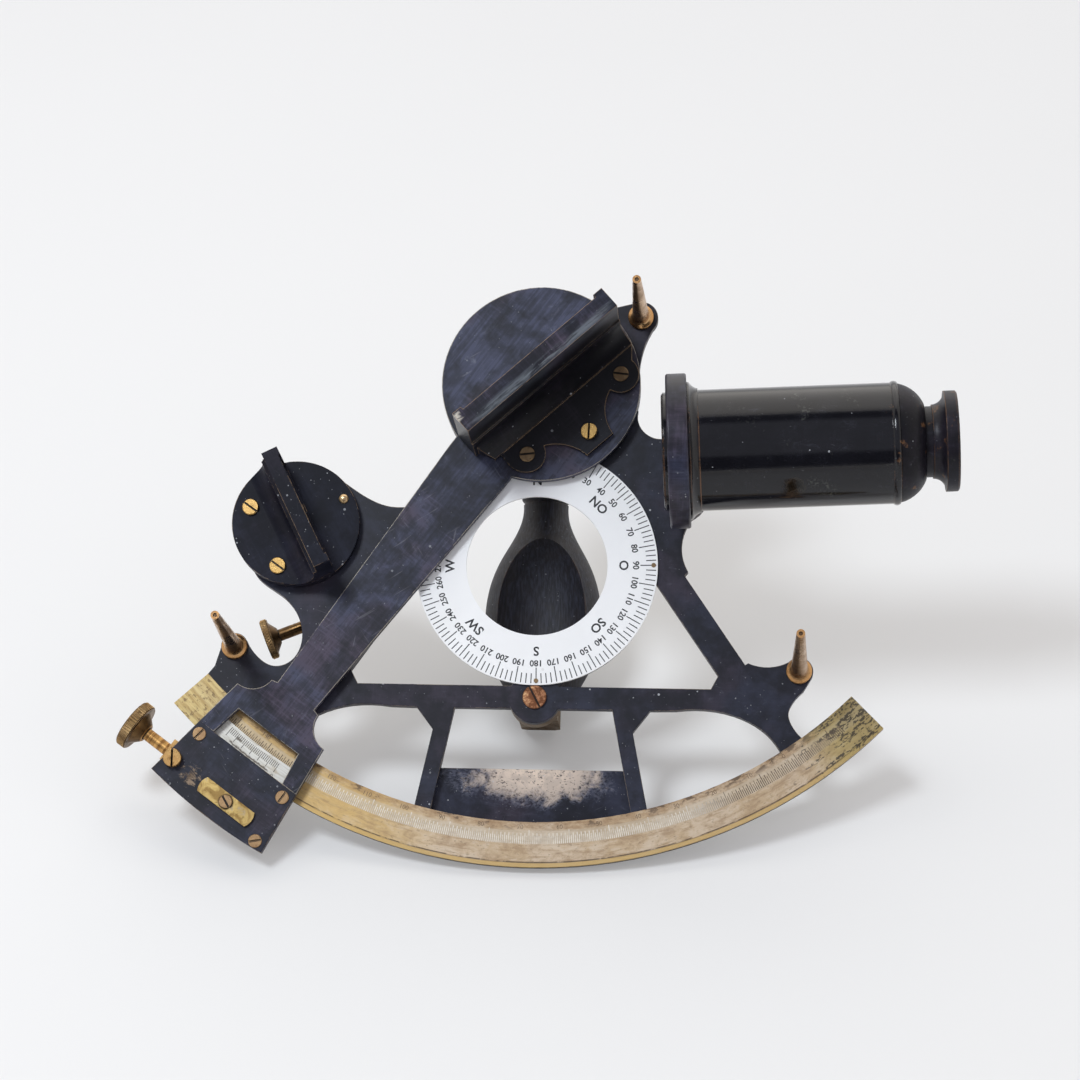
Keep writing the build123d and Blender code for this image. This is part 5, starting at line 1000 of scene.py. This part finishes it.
class KnurlsOperator(bpy.types.Operator):
    """Mills the rims of the four knobs"""

    bl_idname = "sextant.knurls"
    bl_label = "Milled Knobs"

    def execute(self, context):
        k = context.scene.sextant_knurls
        metal = brass_finish(
            "rib_brass", (0.34, 0.22, 0.10), (0.15, 0.085, 0.04), 0.32, 0.6, (0.62, 0.42, 0.20))
        tree = ribs_tree(metal)
        joints = {joint["name"]: joint for joint in frame["joints"]}
        knobs = (("tangent_screw", "tangent_screw"), ("horizon_adjust_screw", "horizon_screw"),
                 ("collar_nut", "collar_nut"), ("clamp_screw", "clamp_screw"))
        for node, moving in knobs:
            joint, body = joints[moving + "_turn"], moving + "_body"
            axis, base = Vector(joint["axis"]).normalized(), Vector(joint["pos_m"])
            data, rim, low, high = self.turned_down(node, axis, base, k.depth)
            core = settle(node + "_milled", data, NODES[node].data.materials[0], body)
            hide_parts(node)
            count = round(2 * pi * rim / k.pitch)
            place = standing(base + axis * (low + high) / 2, axis)
            crossed = node == "horizon_adjust_screw"
            for hand, lean in (("_right", k.slant), ("_left", -k.slant)) if crossed else (("", 0.0),):
                width = (high - low) / cos(lean) - 2 * k.depth * abs(sin(lean))
                grown(node + "_ribs" + hand, tree, place, metal, body, "knurled_brass", count=count,
                      first=0.0, step=2 * pi / count, radius=rim, width=width, depth=k.depth, slant=lean)
        return {"FINISHED"}

    def turned_down(self, node, axis, base, depth):
        """A knob with its rim taken down, the rim's radius, and where along the axis it begins and ends."""
        shape = bmesh.new()
        shape.from_mesh(NODES[node].data)
        # A CAD node's triangles are loose.
        bmesh.ops.remove_doubles(shape, verts=shape.verts, dist=0.005 * MM)
        along = [(v.co - base).dot(axis) for v in shape.verts]
        away = [((v.co - base) - axis * a).length for v, a in zip(shape.verts, along)]
        rim = max(away)
        broad = [a for a, r in zip(along, away) if r > rim - 0.05 * MM]
        # The rim gives way by the ribs' depth, so that their crests stand where it was.
        for v, a, r in zip(shape.verts, along, away):
            if r > rim - depth and r > 0:
                outward = (v.co - base) - axis * a
                v.co = base + axis * a + outward * ((rim - depth) / r)
        data = bpy.data.meshes.new(node + "_milled")
        shape.to_mesh(data)
        shape.free()
        return data, rim, min(broad), max(broad)


class StageOperator(bpy.types.Operator):
    """Sets up the floor, the lamps and the camera"""

    bl_idname = "sextant.stage"
    bl_label = "Stage"

    def execute(self, context):
        s = context.scene.sextant_stage
        context.scene.view_settings.view_transform = "Standard"
        self.floor(s)
        self.lamps(s)
        self.room(s)
        self.camera(s)
        return {"FINISHED"}

    def floor(self, s):
        up = Vector((0, sin(s.floor_tilt), cos(s.floor_tilt)))
        side, rise = Vector((1, 0, 0)), Vector((0, cos(s.floor_tilt), -sin(s.floor_tilt)))
        middle = up * -s.floor_drop
        reach, steps = 3.0, 8
        marks = [reach * (2 * i / steps - 1) for i in range(steps + 1)]
        sheet = bmesh.new()
        rows = [[sheet.verts.new(middle + side * x + rise * y) for x in marks] for y in marks]
        for near, far in zip(rows, rows[1:]):
            for corners in zip(near, near[1:], far[1:], far):
                sheet.faces.new(corners)
        data = bpy.data.meshes.new("floor")
        sheet.to_mesh(data)
        sheet.free()
        floor = linked("floor", data)
        c = Coat("floor_paper")
        cloud = c.noise(c.place, 2.5, 3, 0.5)
        c.colour = c.blend(cloud.rise(0.35, 0.65), shaded(s.floor, 0.985), s.floor)
        data.materials.append(c.done(0.8 + cloud * 0.1, others={"Specular IOR Level": 0.0}))
        # Where it is seen, its shadows are lightened.
        seen = c.take("ShaderNodeLightPath", output="Is Camera Ray")
        glow = c.take("ShaderNodeEmission", {"Color": tint(s.floor)})
        solid = Signal(c, c.shader.outputs[0])
        lifted = c.take("ShaderNodeMixShader", {0: seen * s.floor_lift, 1: solid, 2: glow})
        # From behind, it is see-through, so that the instrument can be looked at from below.
        back = c.take("ShaderNodeNewGeometry", output="Backfacing")
        clear = c.take("ShaderNodeBsdfTransparent")
        output = c.tree.nodes["Material Output"]
        c.feed(output.inputs["Surface"], c.take("ShaderNodeMixShader", {0: back, 1: lifted, 2: clear}))

    def lamps(self, s):
        towards = Vector((-0.382, 0.392, 0.837)).normalized()
        target, distance = Vector((0.02, -0.08, -0.03)), 1.8
        lamp = bpy.data.lights.new("key_lamp", "AREA")
        lamp.shape = "DISK"
        lamp.size = s.key_size
        lamp.energy = s.key_power
        lamp.color = s.key_colour
        linked("key_lamp", lamp).matrix_world = standing(target + towards * distance, towards)

    def room(self, s):
        world = bpy.data.worlds.new("pale_room")
        bpy.context.scene.world = world
        world.use_nodes = True
        w = Wiring(world.node_tree)
        direction = w.vector_math("NORMALIZE", w.take("ShaderNodeTexCoord", output="Generated"))
        height = w.vector_math("DOT_PRODUCT", direction, Vector((-0.05, 0, 0.9987)), output="Value")
        walls = height.fall(0.55, 0.65)
        _, y, z = w.parts(direction)
        panel = w.math("ARCTAN2", y, z).within(radians(-26), radians(38), radians(4))
        above = s.ceiling + panel * s.panel
        sides = s.walls + y.rise(0.75, 0.92) * s.back_wall
        strength = walls * sides + (1.0 - walls) * above
        seen = w.take("ShaderNodeLightPath", output="Is Camera Ray")
        light = world.node_tree.nodes["Background"].inputs
        w.feed(light["Color"], w.blend(walls, (0.95, 0.97, 1.10), (1.04, 1.0, 0.95)))
        w.feed(light["Strength"], (1.0 - seen) * strength + seen * 0.9)

    def camera(self, s):
        place = Vector((84.48, -375.62, 1510.73)) * MM
        back = Vector((0.0541, -0.2041, 0.9775)).normalized()
        right = Vector((-0.0156, 0.9786, 0.2052)).cross(back).normalized()
        eye = bpy.data.cameras.new("camera")
        eye.sensor_fit = "HORIZONTAL"
        eye.sensor_width = 36.0
        eye.lens = s.focal
        eye.clip_start, eye.clip_end = 0.05, 30.0
        holder = linked("camera", eye)
        turn = Matrix((right, back.cross(right), back)).transposed().to_4x4()
        holder.matrix_world = Matrix.Translation(place) @ turn
        bpy.context.scene.camera = holder


OPERATORS = (FinishesOperator, LimbScaleOperator, VernierScaleOperator, RingMarksOperator, KnurlsOperator,
             StageOperator)


class SextantPanel(bpy.types.Panel):
    """Lists the steps that dress the sextant."""

    bl_idname = "VIEW3D_PT_sextant"
    bl_label = "Sextant"
    bl_space_type = "VIEW_3D"
    bl_region_type = "UI"
    bl_category = "Sextant"

    def draw(self, context):
        for step in OPERATORS:
            self.layout.operator(step.bl_idname)
        for attribute, group in GROUPS:
            box = self.layout.box()
            box.label(text=group.__doc__)
            for name in group.__annotations__:
                box.prop(getattr(context.scene, attribute), name)


def register():
    for attribute, group in GROUPS:
        bpy.utils.register_class(group)
        setattr(bpy.types.Scene, attribute, bpy.props.PointerProperty(type=group))
    for made in (*OPERATORS, SextantPanel):
        bpy.utils.register_class(made)


def unregister():
    for made in reversed((*OPERATORS, SextantPanel)):
        bpy.utils.unregister_class(made)
    for attribute, group in reversed(GROUPS):
        delattr(bpy.types.Scene, attribute)
        bpy.utils.unregister_class(group)


def main():
    register()
    bpy.ops.sextant.stage()
    bpy.ops.sextant.finishes()
    bpy.ops.sextant.limb_scale()
    bpy.ops.sextant.vernier_scale()
    bpy.ops.sextant.ring_marks()
    bpy.ops.sextant.knurls()
    bpy.context.view_layer.update()


if __name__ == "__main__":
    main()
